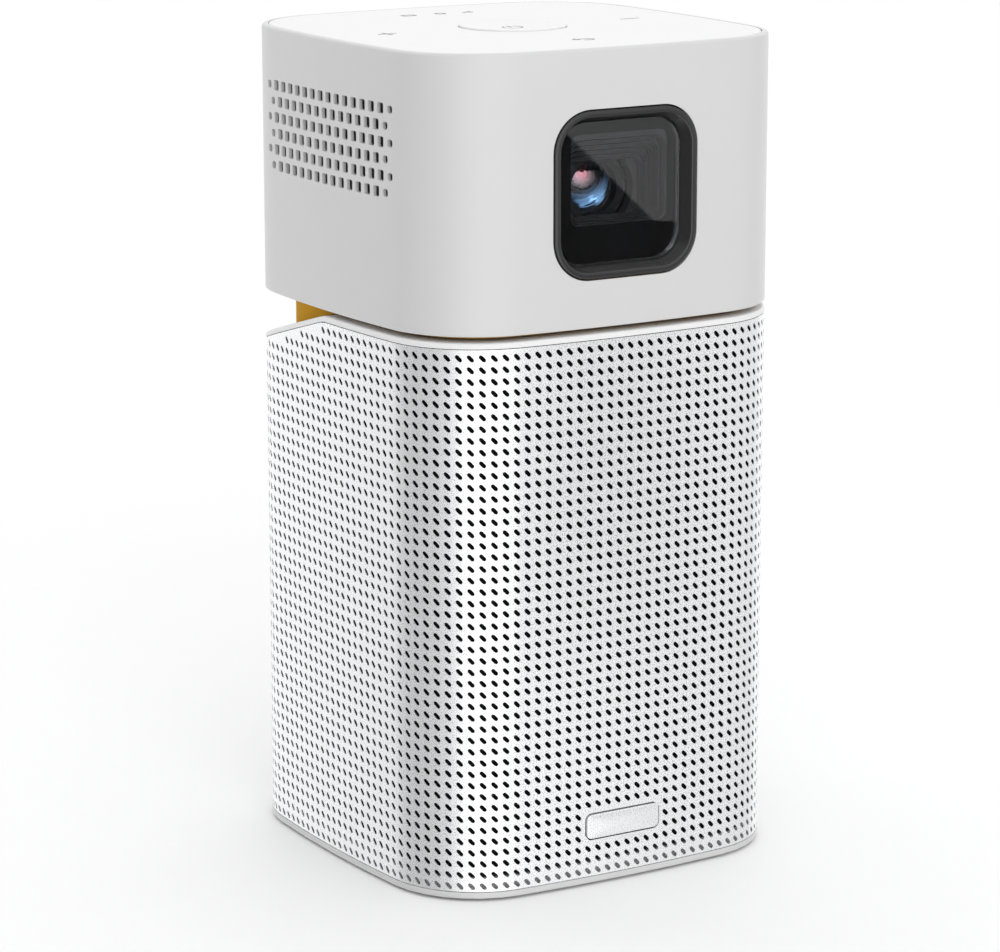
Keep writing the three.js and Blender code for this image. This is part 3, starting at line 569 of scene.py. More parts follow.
class Bench:
    """Lays out one material's nodes."""

    def __init__(self, name: str) -> None:
        """Starts a material with one Principled shader.

        Args:
            name: Name of the material.
        """
        self.material = bpy.data.materials.new(name)
        self.material.use_nodes = True
        self.tree = self.material.node_tree
        self.shader = self.tree.nodes["Principled BSDF"]
        self.place = self.add("ShaderNodeTexCoord").outputs["Object"]

    def add(self, kind: str, settings: dict | None = None, **sockets: object) -> bpy.types.Node:
        """Adds a node, sets its properties, and fills or links its sockets.

        Args:
            kind: The node's type name.
            settings: Properties of the node itself.
            sockets: Values or output sockets for its inputs, by name with _ for a space.

        Returns:
            The node.
        """
        node = self.tree.nodes.new(kind)
        for key, value in (settings or {}).items():
            setattr(node, key, value)
        for key, value in sockets.items():
            self.fill(node, key.replace("_", " "), value)
        return node

    def fill(self, node: bpy.types.Node, key: str, value: object) -> None:
        """Sets an input's value, or links an output to it.

        Args:
            node: The node.
            key: Name of its input.
            value: The value or output socket.
        """
        if isinstance(value, bpy.types.NodeSocket):
            self.tree.links.new(value, node.inputs[key])
        else:
            node.inputs[key].default_value = value

    def surface(self, **sockets: object) -> None:
        """Sets or links the shader's own inputs.

        Args:
            sockets: Values or output sockets, by name with _ for a space.
        """
        for key, value in sockets.items():
            self.fill(self.shader, key.replace("_", " "), value)

    def noise(
        self, size_mm: float, detail: float = 2.0, stretch: Sequence[float] = (1, 1, 1)
    ) -> bpy.types.NodeSocket:
        """Soft noise from 0 to 1.

        Args:
            size_mm: Size of a patch.
            detail: How many finer layers it has.
            stretch: How much longer a patch is along each axis.

        Returns:
            The noise.
        """
        scale = tuple(1 / value for value in stretch)
        mapped = self.add("ShaderNodeMapping", Vector=self.place, Scale=scale).outputs["Vector"]
        scale = 1 / (size_mm * MM)
        return self.add("ShaderNodeTexNoise", Vector=mapped, Scale=scale, Detail=detail).outputs["Fac"]

    def between(
        self, factor: bpy.types.NodeSocket, low: float, high: float, start: float = 0.3, end: float = 0.7
    ) -> bpy.types.NodeSocket:
        """Maps a factor's start and end to two values."""
        sockets = {"Value": factor, "From_Min": start, "From_Max": end, "To_Min": low, "To_Max": high}
        return self.add("ShaderNodeMapRange", **sockets).outputs["Result"]

    def tints(
        self, factor: bpy.types.NodeSocket, colour: Sequence[float], spread: float
    ) -> bpy.types.NodeSocket:
        """A colour that varies by a share of its own value with a factor.

        Args:
            factor: Noise or pattern from 0 to 1.
            colour: Linear colour.
            spread: Largest share that it varies by.

        Returns:
            The colour.
        """
        ramp = self.add("ShaderNodeValToRGB", Fac=factor)
        for element, position, share in zip(ramp.color_ramp.elements, (0.3, 0.7), (1 - spread, 1 + spread)):
            element.position = position
            element.color = (*[min(1.0, channel * share) for channel in colour[:3]], 1.0)
        return ramp.outputs["Color"]

    def fade(
        self, factor: bpy.types.NodeSocket, first: Sequence[float], second: Sequence[float]
    ) -> bpy.types.NodeSocket:
        """A colour that goes from one to another with a factor.

        Args:
            factor: Share of the second colour.
            first: Linear colour at 0.
            second: Linear colour at 1.

        Returns:
            The colour.
        """
        ramp = self.add("ShaderNodeValToRGB", Fac=factor)
        for element, colour in zip(ramp.color_ramp.elements, (first, second)):
            element.color = (*colour[:3], 1.0)
        return ramp.outputs["Color"]

    def relief(
        self, height: bpy.types.NodeSocket, depth_mm: float, under: bpy.types.NodeSocket | None = None
    ) -> bpy.types.NodeSocket:
        """Bump that a pattern presses into the surface.

        Args:
            height: The pattern, from 0 to 1.
            depth_mm: Its depth.
            under: An earlier bump that this one lies on.

        Returns:
            The surface's direction.
        """
        sockets = {"Height": height, "Strength": 1.0, "Distance": depth_mm * MM}
        if under:
            sockets["Normal"] = under
        return self.add("ShaderNodeBump", **sockets).outputs["Normal"]


@dataclass(frozen=True)
class MouldedPlastic:
    """Moulded plastic with a fine spark-eroded grain and slow changes of tone and sheen."""

    name: str
    colour: tuple[float, float, float]
    roughness: float
    grain_mm: float = 0.22
    depth_mm: float = 0.004
    spread: float = 0.015
    gloss: float = 0.5

    def make(self) -> bpy.types.Material:
        """Builds the material.

        Returns:
            The material.
        """
        bench = Bench(self.name)
        slow = bench.noise(9.0)
        grain = bench.noise(self.grain_mm, 3.0)
        bench.surface(
            Specular_IOR_Level=self.gloss,
            Base_Color=bench.tints(slow, linear(*self.colour), self.spread),
            Roughness=bench.between(grain, self.roughness - 0.03, self.roughness + 0.04),
            Normal=bench.relief(grain, self.depth_mm),
        )
        return bench.material


@dataclass(frozen=True)
class SilverPaint:
    """Fine-grained silver-white paint on sheet metal, with small flakes that catch the light."""

    name: str
    colour: tuple[float, float, float]
    roughness: float
    metallic: float
    flake_mm: float = 0.16

    def make(self) -> bpy.types.Material:
        """Builds the material.

        Returns:
            The material.
        """
        bench = Bench(self.name)
        flakes = bench.add("ShaderNodeTexVoronoi", Vector=bench.place, Scale=1 / (self.flake_mm * MM))
        tone = bench.add("ShaderNodeRGBToBW", Color=flakes.outputs["Color"]).outputs["Val"]
        peel = bench.noise(0.6, 2.0)
        bench.surface(
            Base_Color=bench.tints(tone, linear(*self.colour), 0.02),
            Metallic=self.metallic,
            Roughness=bench.between(tone, self.roughness - 0.03, self.roughness + 0.04),
            Normal=bench.relief(peel, 0.003, bench.relief(tone, 0.0007)),
        )
        return bench.material


@dataclass(frozen=True)
class BareMetal:
    """Metal with fine lines along one axis, or a cast grain when nothing is stretched."""

    name: str
    colour: tuple[float, float, float]
    roughness: float
    stretch: tuple[float, float, float] = (1.0, 1.0, 1.0)
    grain_mm: float = 0.12

    def make(self) -> bpy.types.Material:
        """Builds the material.

        Returns:
            The material.
        """
        bench = Bench(self.name)
        lines = bench.noise(self.grain_mm, 3.0, self.stretch)
        bench.surface(
            Base_Color=bench.tints(bench.noise(4.0), linear(*self.colour), 0.05),
            Metallic=1.0,
            Roughness=bench.between(lines, self.roughness - 0.07, self.roughness + 0.09),
            Normal=bench.relief(lines, 0.004),
        )
        return bench.material


@dataclass(frozen=True)
class WovenCloth:
    """Plain woven cloth: two sets of threads at right angles, each rounded by a wave."""

    name: str
    colour: tuple[float, float, float]
    thread_mm: float = 0.35
    wave_scale: float = 20 / TURN

    def make(self) -> bpy.types.Material:
        """Builds the material.

        Returns:
            The material.
        """
        bench = Bench(self.name)
        scale = 1 / (self.thread_mm * MM * self.wave_scale)
        turned = bench.add("ShaderNodeMapping", Vector=bench.place, Rotation=(0.0, 0.0, math.radians(45)))
        threads = bench.add("ShaderNodeMath", {"operation": "MAXIMUM"})
        for socket, axis in zip(threads.inputs, ("X", "Z")):
            settings = {"bands_direction": axis}
            wave = bench.add("ShaderNodeTexWave", settings, Vector=turned.outputs["Vector"], Scale=scale)
            bench.tree.links.new(wave.outputs["Fac"], socket)
        height = threads.outputs["Value"]
        bench.surface(
            Base_Color=bench.tints(height, linear(*self.colour), 0.35),
            Roughness=0.92,
            Normal=bench.relief(height, 0.05),
        )
        return bench.material


@dataclass(frozen=True)
class SoftRubber:
    """Matt rubber with a pebbled skin."""

    name: str
    colour: tuple[float, float, float]
    pebble_mm: float = 0.7

    def make(self) -> bpy.types.Material:
        """Builds the material.

        Returns:
            The material.
        """
        bench = Bench(self.name)
        scale = 1 / (self.pebble_mm * MM)
        pebbles = bench.add("ShaderNodeTexVoronoi", Vector=bench.place, Scale=scale).outputs["Distance"]
        bench.surface(
            Base_Color=bench.tints(bench.noise(5.0), linear(*self.colour), 0.08),
            Roughness=bench.between(pebbles, 0.75, 0.92, 0.1, 0.6),
            Normal=bench.relief(pebbles, 0.03),
        )
        return bench.material


@dataclass(frozen=True)
class PolishedGlass:
    """Clear window plastic, with the faint haze of a wiped surface."""

    name: str
    colour: tuple[float, float, float]
    ior: float

    def make(self) -> bpy.types.Material:
        """Builds the material.

        Returns:
            The material.
        """
        bench = Bench(self.name)
        haze = bench.noise(6.0, 4.0)
        bench.surface(
            Base_Color=bench.tints(haze, linear(*self.colour), 0.01),
            Roughness=0.0,
            IOR=self.ior,
            Transmission_Weight=1.0,
        )
        return bench.material


@dataclass(frozen=True)
class GlassWithPaintedReflection:
    """Lens glass with a painted reflection: a tinted mirror patch in one area, the rest dark or clear.

    The painted reflection grows from none to full between two distances from a point, in millimetres. A
    second distance below the first gives a round patch about the point, and above it a crescent. The
    patch stands in for a studio light mirrored in the lens, painted into the colour and metallic.
    The ripple is the angle that its fine rings reach, in radians, at a distance in millimetres.
    """

    name: str
    painted_reflection_colour: tuple[float, float, float]
    rest: tuple[float, float, float]
    point: tuple[float, float, float]
    reach: tuple[float, float]
    mirror: float
    transmission: float
    roughness: float = 0.08
    ior: float = 1.35
    ripple: tuple[float, float] = (60.0, 8.0)

    def make(self) -> bpy.types.Material:
        """Builds the material.

        Returns:
            The material.
        """
        bench = Bench(self.name)
        measure = bench.add("ShaderNodeVectorMath", {"operation": "DISTANCE"})
        bench.tree.links.new(bench.place, measure.inputs[0])
        measure.inputs[1].default_value = tuple(MM * value for value in self.point)
        near, far = (MM * value for value in self.reach)
        away = measure.outputs["Value"]
        # painted reflection: share of the tinted mirror patch, by distance from the point
        patch = bench.between(away, 0.0, self.mirror, near, far)
        phase = bench.between(away, 0.0, self.ripple[0], 0.0, self.ripple[1] * MM)
        ripple = bench.add("ShaderNodeMath", {"operation": "SINE"}, Value=phase)
        bench.surface(
            # painted reflection: colour and metallic go from the rest to the tint inside the patch
            Base_Color=bench.fade(patch, linear(*self.rest), linear(*self.painted_reflection_colour)),
            Metallic=patch,
            Roughness=self.roughness,
            IOR=self.ior,
            Transmission_Weight=self.transmission,
            Normal=bench.relief(ripple.outputs["Value"], 0.01),
        )
        return bench.material


@dataclass(frozen=True)
class CircuitBoard:
    """Solder-masked board: copper tracks under a coloured varnish."""

    name: str
    colour: tuple[float, float, float]
    tracks_per_metre: float = 420.0

    def make(self) -> bpy.types.Material:
        """Builds the material.

        Returns:
            The material.
        """
        bench = Bench(self.name)
        settings = {"feature": "DISTANCE_TO_EDGE"}
        tracks = bench.add("ShaderNodeTexVoronoi", settings, Vector=bench.place, Scale=self.tracks_per_metre)
        line = bench.between(tracks.outputs["Distance"], 1.0, 0.0, 0.04, 0.08)
        bench.surface(
            Base_Color=bench.tints(line, linear(*self.colour), 0.3),
            Roughness=bench.between(bench.noise(0.8), 0.3, 0.45),
            Normal=bench.relief(line, 0.03),
        )
        return bench.material


class Finish(Enum):
    """Every finish on the projector."""

    WHITE_SHELL = MouldedPlastic("case_white", (207, 207, 207), 0.36, 0.25, 0.002, 0.004)
    # Painted light: the same white plastic as WHITE_SHELL, made lighter for the upward-facing deck, top cover
    # and power key, to stand for the light that falls on them from above.
    TOP_WHITE_PAINTED_LIGHT = MouldedPlastic("cover_white_painted_light", (231, 231, 231), 0.4, 0.25, 0.002, 0.004)
    WHITE_METAL = SilverPaint("silver_white_paint", (243, 244, 245), 0.3, 0.4)
    OCHRE = MouldedPlastic("ochre_collar", (214, 158, 0), 0.62, 0.3, 0.005, 0.03, 0.15)
    BEZEL_GREY = MouldedPlastic("bezel_grey", (50, 50, 51), 0.22, 0.18, 0.002, 0.04)
    BLACK_PLASTIC = MouldedPlastic("black_plastic", (20, 20, 21), 0.5, 0.2, 0.004, 0.1)
    HOOD_BLACK = MouldedPlastic("hood_black", (64, 64, 65), 0.5, 0.4, 0.0004, 0.02, 0.15)
    MASK_BLACK = MouldedPlastic("window_print", (17, 17, 18), 0.4, 0.2, 0.001, 0.05, 0.1)
    SENSOR_TINT = MouldedPlastic("sensor_tint", (19, 19, 21), 0.4, 0.2, 0.001, 0.05, 0.1)
    CLOTH = WovenCloth("black_acoustic_cloth", (5, 5, 5))
    SCREEN = WovenCloth("grey_dust_screen", (60, 60, 60), 0.3)
    WINDOW = PolishedGlass("window_clear", (240, 241, 243), 1.43)
    # Painted reflection: a round pink mirror patch at the upper left of the front glass, in place of a
    # light's reflection.
    FRONT_GLASS_PAINTED_REFLECTION = GlassWithPaintedReflection(
        "front_glass",
        (255, 150, 165),
        (235, 232, 240),
        point=(-2.6, -28.0, 131.2),
        reach=(2.9, 0.6),
        mirror=0.75,
        transmission=1.0,
    )
    # Painted reflection: a pale blue mirror crescent round the lower part of the dark inner glass.
    INNER_GLASS_PAINTED_REFLECTION = GlassWithPaintedReflection(
        "inner_glass",
        (150, 210, 250),
        (3, 4, 6),
        point=(-0.4, -24.0, 131.2),
        reach=(3.9, 5.8),
        mirror=1.0,
        transmission=0.0,
    )
    RING_BLACK = MouldedPlastic("lens_ring_black", (48, 48, 49), 0.2, 0.2, 0.001, 0.05)
    RUBBER = SoftRubber("foot_rubber", (44, 44, 45))
    STEEL = BareMetal("plated_steel", (186, 188, 190), 0.32, (14, 1, 1))
    ALUMINIUM = BareMetal("cast_aluminium", (200, 202, 204), 0.42)
    COPPER = BareMetal("bare_copper", (200, 122, 84), 0.32, (1, 12, 1))
    BRASS = BareMetal("plain_brass", (206, 172, 96), 0.3)
    BOARD = CircuitBoard("board_green", (30, 96, 58))
    CELL_WRAP = MouldedPlastic("cell_wrap", (44, 95, 158), 0.3, 0.8, 0.01, 0.05)
    CONE_PAPER = MouldedPlastic("pressed_paper", (46, 46, 48), 0.85, 0.6, 0.03, 0.12)
    SYMBOL_GREY = MouldedPlastic("symbol_ink", (112, 113, 115), 0.4, 0.3, 0.001, 0.03)


MATERIALS: dict[Finish, bpy.types.Material] = {}


def finish_of(choice: Finish) -> bpy.types.Material:
    """The material of a finish, made the first time that it is wanted.

    Args:
        choice: The finish.

    Returns:
        Its material.
    """
    if choice not in MATERIALS:
        MATERIALS[choice] = choice.value.make()
    return MATERIALS[choice]


def dress(
    piece: bpy.types.Object, choice: Finish, body: str, slot: str, *stands_for: str
) -> bpy.types.Object:
    """Gives a new piece its finish and body.

    Args:
        piece: The finished object.
        choice: Its finish.
        body: The body that it moves with.
        slot: The record's material slot; not used.
        stands_for: CAD nodes that it replaces.

    Returns:
        The piece.
    """
    piece.data.materials.append(finish_of(choice))
    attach(piece, body)
    if stands_for:
        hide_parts(*stands_for)
    LOG.info("%s: %d faces, rides on %s", piece.name, len(piece.data.polygons), body)
    return piece


# ---------------------------------------------------------------- deck line


@dataclass(frozen=True)
class DeckLine:
    """Height of the lower half's top: level, then a rounded ridge, then a slope to the back."""

    level: float = 103.8
    ridge_y: float = 1.9
    slope: float = math.radians(15.5)
    rounding: float = 10.0

    def height(self, y: np.ndarray) -> np.ndarray:
        """Height of a level line and a falling one, joined by an arc that touches both.

        Args:
            y: Depths.

        Returns:
            A height for each.
        """
        start = self.ridge_y - self.rounding * math.tan(self.slope / 2)
        end = start + self.rounding * math.sin(self.slope)
        bend = np.clip(y, start, end) - start
        arc = self.level - self.rounding + np.sqrt(self.rounding**2 - bend**2)
        return arc - np.maximum(y - end, 0) * math.tan(self.slope)


DECK = DeckLine()


# ---------------------------------------------------------------- lower half


@dataclass
class Grille:
    """Painted metal sleeve with slanted slots in columns all round, in two pieces under one paint.

    An opening's cells are its first column, the column after its last, and the same for rows,
    counted from the piece's own first column.
    """

    column_count: int = 132
    first_slot: float = 0.43
    column_pitch: float = CASE.perimeter / column_count
    bottom_row: float = 2.89
    row_pitch: float = 2.135
    row_count: int = 47
    slot_reach: float = 0.43
    slot_radius: float = 0.38
    bottom: float = 1.85
    seam_drop: float = 1.17
    skin: float = 0.05
    wall: float = 0.2
    badge_size: tuple[float, float] = (16.4, 5.2)
    badge_centre: tuple[float, float] = (-0.6, 11.35)
    badge_corner: float = 1.3
    badge_cells: tuple[int, int, int, int] = (45, 53, 3, 6)
    socket_size: tuple[float, float] = (34.0, 11.0)
    socket_height: float = 15.0
    socket_corner: float = 3.0
    socket_cells: tuple[int, int, int, int] = (8, 25, 3, 9)
    front_columns: tuple[int, int] = (-49, 99)
    back_columns: tuple[int, int] = (50, 33)

    def slot(self) -> np.ndarray:
        """One slot about its middle: half circles at the ends of a line that falls at 45 degrees.

        Returns:
            Eight points, four round each end.
        """
        angle = np.radians(plain(-135, -75, -15, 45, 45, 105, 165, 225))
        end = np.repeat([1.0, -1.0], 4)[:, None] * plain(1, -1) * self.slot_reach * math.sqrt(0.5)
        return end + self.slot_radius * np.stack([np.cos(angle), np.sin(angle)], axis=-1)

    def seam(self, y: np.ndarray) -> np.ndarray:
        """Height of the sleeve's top edge at depth y."""
        return DECK.height(y) - self.seam_drop

    def columns(self, first: int, count: int) -> np.ndarray:
        """Lengths of the edges of `count` columns from number `first`."""
        return self.first_slot + self.column_pitch * (np.arange(first, first + count + 1) - 0.5)

    def rows(self) -> np.ndarray:
        """Heights of the row edges, with the sleeve's bottom first and its seam last.

        Returns:
            Rising heights.
        """
        edges = self.bottom_row + self.row_pitch * (np.arange(self.row_count + 1) - 0.5)
        edges[0] = self.bottom
        return np.append(edges, DECK.level)

    def spots(self, columns: np.ndarray, openings: Sequence[Opening]) -> np.ndarray:
        """Cells that hold a slot: all but those near the seam or inside an opening.

        Args:
            columns: Edges of the piece's columns.
            openings: Its openings.

        Returns:
            Row and column of each cell.
        """
        middle = (columns[1:] + columns[:-1]) / 2
        height = self.bottom_row + self.row_pitch * np.arange(self.row_count)
        room = self.seam(CASE.at(middle)[..., 1]) - self.row_pitch / 2 - 0.05
        wanted = height[:, None] < room
        for opening in openings:
            wanted[opening.rows[0] : opening.rows[1], opening.columns[0] : opening.columns[1]] = False
        return np.argwhere(wanted)

    def window(
        self, size: Sequence[float], centre: Sequence[float], radius: float, cells: Sequence[int]
    ) -> Opening:
        """An upright rounded opening in a block of cells, straight through the sheet.

        Args:
            size: Width and height.
            centre: Length along the outline, and height.
            radius: Corner radius.
            cells: First column, the column after the last, and the same for rows.

        Returns:
            The opening.
        """
        plan = rounded_rectangle(*size, radius, centre, 6)
        return Opening(cells[:2], cells[2:], ((plan, self.skin), (plan, self.wall)))

    def piece(self, name: str, first: int, count: int, openings: Sequence[Opening]) -> bpy.types.Object:
        """Builds the part of the sleeve that covers the given columns.

        Args:
            name: Name of the piece.
            first: Number of its first column.
            count: How many columns it has.
            openings: Its openings.

        Returns:
            The object.
        """
        columns = self.columns(first, count)
        wall = CellWall(columns, self.rows(), self.skin, self.wall, self.seam)
        skin = Skin()
        wall.build(skin, [(self.slot(), self.spots(columns, openings))], 1, openings)
        return skin.build(name)

    def build(self) -> None:
        """Builds the front and sides with the badge's seat, then the back with the sockets'."""
        badge = self.window(self.badge_size, self.badge_centre, self.badge_corner, self.badge_cells)
        front = self.piece("grille_front_and_sides", *self.front_columns, [badge])
        behind = (2 * CASE.quarter, self.socket_height)
        sockets = self.window(self.socket_size, behind, self.socket_corner, self.socket_cells)
        back = self.piece("grille_back", *self.back_columns, [sockets])
        for piece in (front, back):
            dress(piece, Finish.WHITE_METAL, "base", "white_metal", "grille_shell")


@dataclass
class Badge:
    """Plain blank plate in its own seat low on the front."""

    width: float = 15.8
    height: float = 4.6
    radius: float = 1.1
    centre: tuple[float, float] = (-0.6, 11.35)
    front: float = -40.2
    back: float = -39.1
    edge: float = 0.22

    def build(self) -> None:
        """Builds the plate as rounded rectangles that shrink over a rounded front edge."""
        rows = [(0.0, self.back), (0.0, self.front + self.edge)]
        for angle in np.radians([30, 60, 90]):
            depth = self.front + self.edge * (1 - math.sin(angle))
            rows.append((self.edge * (1 - math.cos(angle)), depth))
        loops = []
        for inset, y in rows:
            width, height = self.width - 2 * inset, self.height - 2 * inset
            loops.append(facing_front(rounded_rectangle(width, height, self.radius - inset, self.centre), y))
        skin = Skin()
        grid = np.stack(loops)
        skin.grid(np.concatenate([grid, grid[:, :1]], axis=1))
        skin.cap(loops[-1], (self.centre[0], self.front, self.centre[1]), up=True)
        skin.cap(loops[0], (self.centre[0], self.back, self.centre[1]), up=False)
        dress(skin.build("badge_plate"), Finish.WHITE_METAL, "base", "white_metal", "badge")


COLLAR_INSET = 3.6
COLLAR_HALF = 36.0
COLLAR_CORNER = 6.0


def neck_ring(s: np.ndarray, inset: float, back: float = 24.0) -> np.ndarray:
    """Plan of the collar: the case's outline, cut off square at the back and rounded again.

    A point of the outline is limited to the collar's depth and width, and where that lands in a
    back corner it is drawn in towards the corner's centre to the corner radius.

    Args:
        s: Lengths along the case's outline.
        inset: How far inside the collar's outer face.
        back: Depth of the collar's back face.

    Returns:
        Plan points.
    """
    plan = CASE.at(s, COLLAR_INSET + inset)
    limit_x, limit_y, radius = COLLAR_HALF - inset, back - inset, max(COLLAR_CORNER - inset, 1.0)
    x = np.clip(plan[..., 0], -limit_x, limit_x)
    y = np.clip(plan[..., 1], inset - COLLAR_HALF, limit_y)
    corner_x, corner_y = np.sign(x) * (limit_x - radius), limit_y - radius
    from_x, from_y = x - corner_x, y - corner_y
    reach = np.hypot(from_x, from_y)
    outside = (np.abs(x) > limit_x - radius) & (from_y > 0) & (reach > radius)
    share = np.where(outside, radius / np.maximum(reach, radius), 1.0)
    drawn_x = np.where(outside, corner_x + from_x * share, x)
    drawn_y = np.where(outside, corner_y + from_y * share, y)
    return np.stack([drawn_x, drawn_y], axis=-1)


@dataclass
class TopDeck:
    """Moulded cover of the lower half, with a rounded rim and the opening for the collar.

    The lining is its two insets from the case's outline, then its two drops from the deck line.
    """

    rim: float = 1.05
    rim_inset: float = 1.2
    rim_chamfer: float = 0.1
    rounding: float = 0.5
    flat_inset: float = 3.0
    thickness: float = 3.0
    skirt: float = 6.0
    skirt_insets: tuple[float, float] = (2.2, 3.8)
    opening_inset: float = 2.8
    hinge_y: float = 1.9
    hinge_half: float = 5.8
    hinge_from: float = 30.0
    hinge_reach: float = 35.8
    bend: tuple[float, float] = (0.2, 3.8)
    lining: tuple[float, float, float, float] = (1.6, 1.9, 1.3, 5.8)

    def build(self) -> None:
        """Builds the cover as rings that run round its section, each at a drop from the deck line."""
        s = np.sort(np.append(CASE.stations(), self.ridge_stations()))
        hole = self.opening(s)
        near, far = (CASE.at(s, inset) for inset in self.skirt_insets)
        rows = [(CASE.at(s, self.rim_inset), -self.rim), (CASE.at(s, self.rim_chamfer), -self.rim)]
        rows.append((CASE.at(s), -self.rim + self.rim_chamfer))
        for angle in np.radians(np.linspace(0, 90, 6)):
            inset = self.rounding * (1 - math.cos(angle))
            rows.append((CASE.at(s, inset), -self.rounding * (1 - math.sin(angle))))
        rows += [(CASE.at(s, self.flat_inset), 0.0), (hole, 0.0), (hole, -self.thickness)]
        rows += [(far, -self.thickness), (far, -self.skirt), (near, -self.skirt), (near, -self.rim)]
        skin = Skin()
        rows.append(rows[0])
        skin.grid(np.stack([at_height(plan, DECK.height(plan[:, 1]) + drop) for plan, drop in rows]))
        # painted light: the deck takes the lighter top white
        dress(skin.build("deck_cover"), Finish.TOP_WHITE_PAINTED_LIGHT, "base", "white_shell", "top_deck")
        self.build_lining(s)

    def opening(self, s: np.ndarray) -> np.ndarray:
        """Plan of the opening inside the collar, wider where the hinge cheeks pass through.

        Args:
            s: Lengths along the outline.

        Returns:
            Plan points.
        """
        x, y = neck_ring(s, self.opening_inset).T
        beside = (np.abs(y - self.hinge_y) < self.hinge_half) & (np.abs(x) > self.hinge_from)
        return np.stack([np.where(beside, np.sign(x) * self.hinge_reach, x), y], axis=-1)

    def build_lining(self, s: np.ndarray) -> None:
        """Builds the strip of cloth that hides the deck's white skirt behind the top rows of slots.

        Args:
            s: Lengths along the outline.
        """
        near, far, high, low = self.lining
        corners = [(near, high), (far, high), (far, low), (near, low), (near, high)]
        plans = [(CASE.at(s, inset), drop) for inset, drop in corners]
        skin = Skin()
        skin.grid(np.stack([at_height(plan, DECK.height(plan[:, 1]) - drop) for plan, drop in plans]))
        dress(skin.build("deck_lining"), Finish.CLOTH, "base", "black_cloth")

    def ridge_stations(self) -> np.ndarray:
        """Extra lengths on both sides where the deck line bends."""
        y = np.linspace(*self.bend, 10)
        return np.concatenate([CASE.quarter + y, 3 * CASE.quarter - y])


@dataclass
class BaseRim:
    """Smooth white band round the foot of the case, over the base cover's edge."""

    bottom: float = 0.6
    top: float = 1.7
    proud: float = 0.02
    depth: float = 0.4

    def build(self) -> None:
        """Builds the band as rings round its own small section."""
        s = CASE.stations()
        section = [
            (self.depth, self.bottom - 0.02),
            (0.2, self.bottom - 0.02),
            (0.04 - self.proud, self.bottom + 0.1),
            (-self.proud, self.bottom + 0.25),
            (-self.proud, self.top - 0.2),
            (0.06 - self.proud, self.top - 0.04),
            (0.2, self.top + 0.02),
            (self.depth, self.top + 0.02),
        ]
        rows = [at_height(CASE.at(s, inset), z) for inset, z in section]
        skin = Skin()
        skin.grid(np.stack([*rows, rows[0]]))
        dress(skin.build("base_rim_band"), Finish.WHITE_SHELL, "base", "white_shell")


@dataclass
class Neck:
    """Ochre collar that stands on the deck and reaches up into the head."""

    wall: float = 2.0
    edge: float = 0.3
    foot_gap: float = 0.3
    axis_y: float = 1.9
    axis_z: float = 104.35
    top_line: tuple[tuple[float, float], ...] = ((-20.0, 114.9), (6.0, 112.0), (18.0, 107.4))
    cheek: tuple[float, float, float, float] = (32.9, 35.5, 98.6, 110.0)
    cheek_half: float = 5.5

    def lean(self, plan: np.ndarray, z: np.ndarray) -> np.ndarray:
        """Draws the front back with height, along an arc about the tilt axis.

        A point h above the axis and d in front of it moves back to the root of d squared less h
        squared, so the head's opening clears it at every angle.

        Args:
            plan: Plan points.
            z: A height for each.

        Returns:
            Points in space.
        """
        depth = np.maximum(self.axis_y - plan[..., 1], 0)
        height = np.maximum(z - self.axis_z, 0)
        front = self.axis_y - np.sqrt(np.maximum(depth**2 - height**2, 0))
        y = np.where(depth > height, front, plan[..., 1])
        return np.stack([plan[..., 0], y, z], axis=-1)

    def build(self) -> None:
        """Builds the collar as rows from the deck up, over the top edge and down inside."""
        s = CASE.stations()
        y, z = np.array(self.top_line).T
        rows = []
        climb = np.linspace(0, 1, 9)
        faces = ((0.0, climb), (self.edge, [1.0]), (self.wall - self.edge, [1.0]), (self.wall, climb[::-1]))
        for inset, shares in faces:
            plan = neck_ring(s, inset)
            foot = DECK.height(plan[:, 1]) + self.foot_gap
            edge = self.edge if inset in (0.0, self.wall) else 0.0
            head = np.interp(plan[:, 1], y, z) - edge
            rows += [self.lean(plan, foot + (head - foot) * share) for share in shares]
        skin = Skin()
        skin.grid(np.stack([*rows, rows[0]]))
        for side in (-1, 1):
            self.add_cheek(skin, side)
        dress(skin.build("neck_collar"), Finish.OCHRE, "base", "ochre_plastic", "neck")

    def add_cheek(self, skin: Skin, side: int) -> None:
        """Adds the plate that carries a hinge pin, drawn in the plane of Y and Z.

        Args:
            skin: Where it goes.
            side: -1 at the left and 1 at the right.
        """
        inner, outer, low, high = self.cheek
        plan = rounded_rectangle(2 * self.cheek_half, high - low, 1.0, (self.axis_y, (low + high) / 2), 4)
        near, far = (side * inner, side * outer) if side > 0 else (side * outer, side * inner)
        loops = [np.stack([np.full(len(plan), x), plan[:, 0], plan[:, 1]], axis=-1) for x in (near, far)]
        grid = np.stack(loops)
        skin.grid(np.concatenate([grid, grid[:, :1]], axis=1))
        skin.cap(loops[1], (far, self.axis_y, (low + high) / 2), up=True)
        skin.cap(loops[0], (near, self.axis_y, (low + high) / 2), up=False)


# ---------------------------------------------------------------- upper half


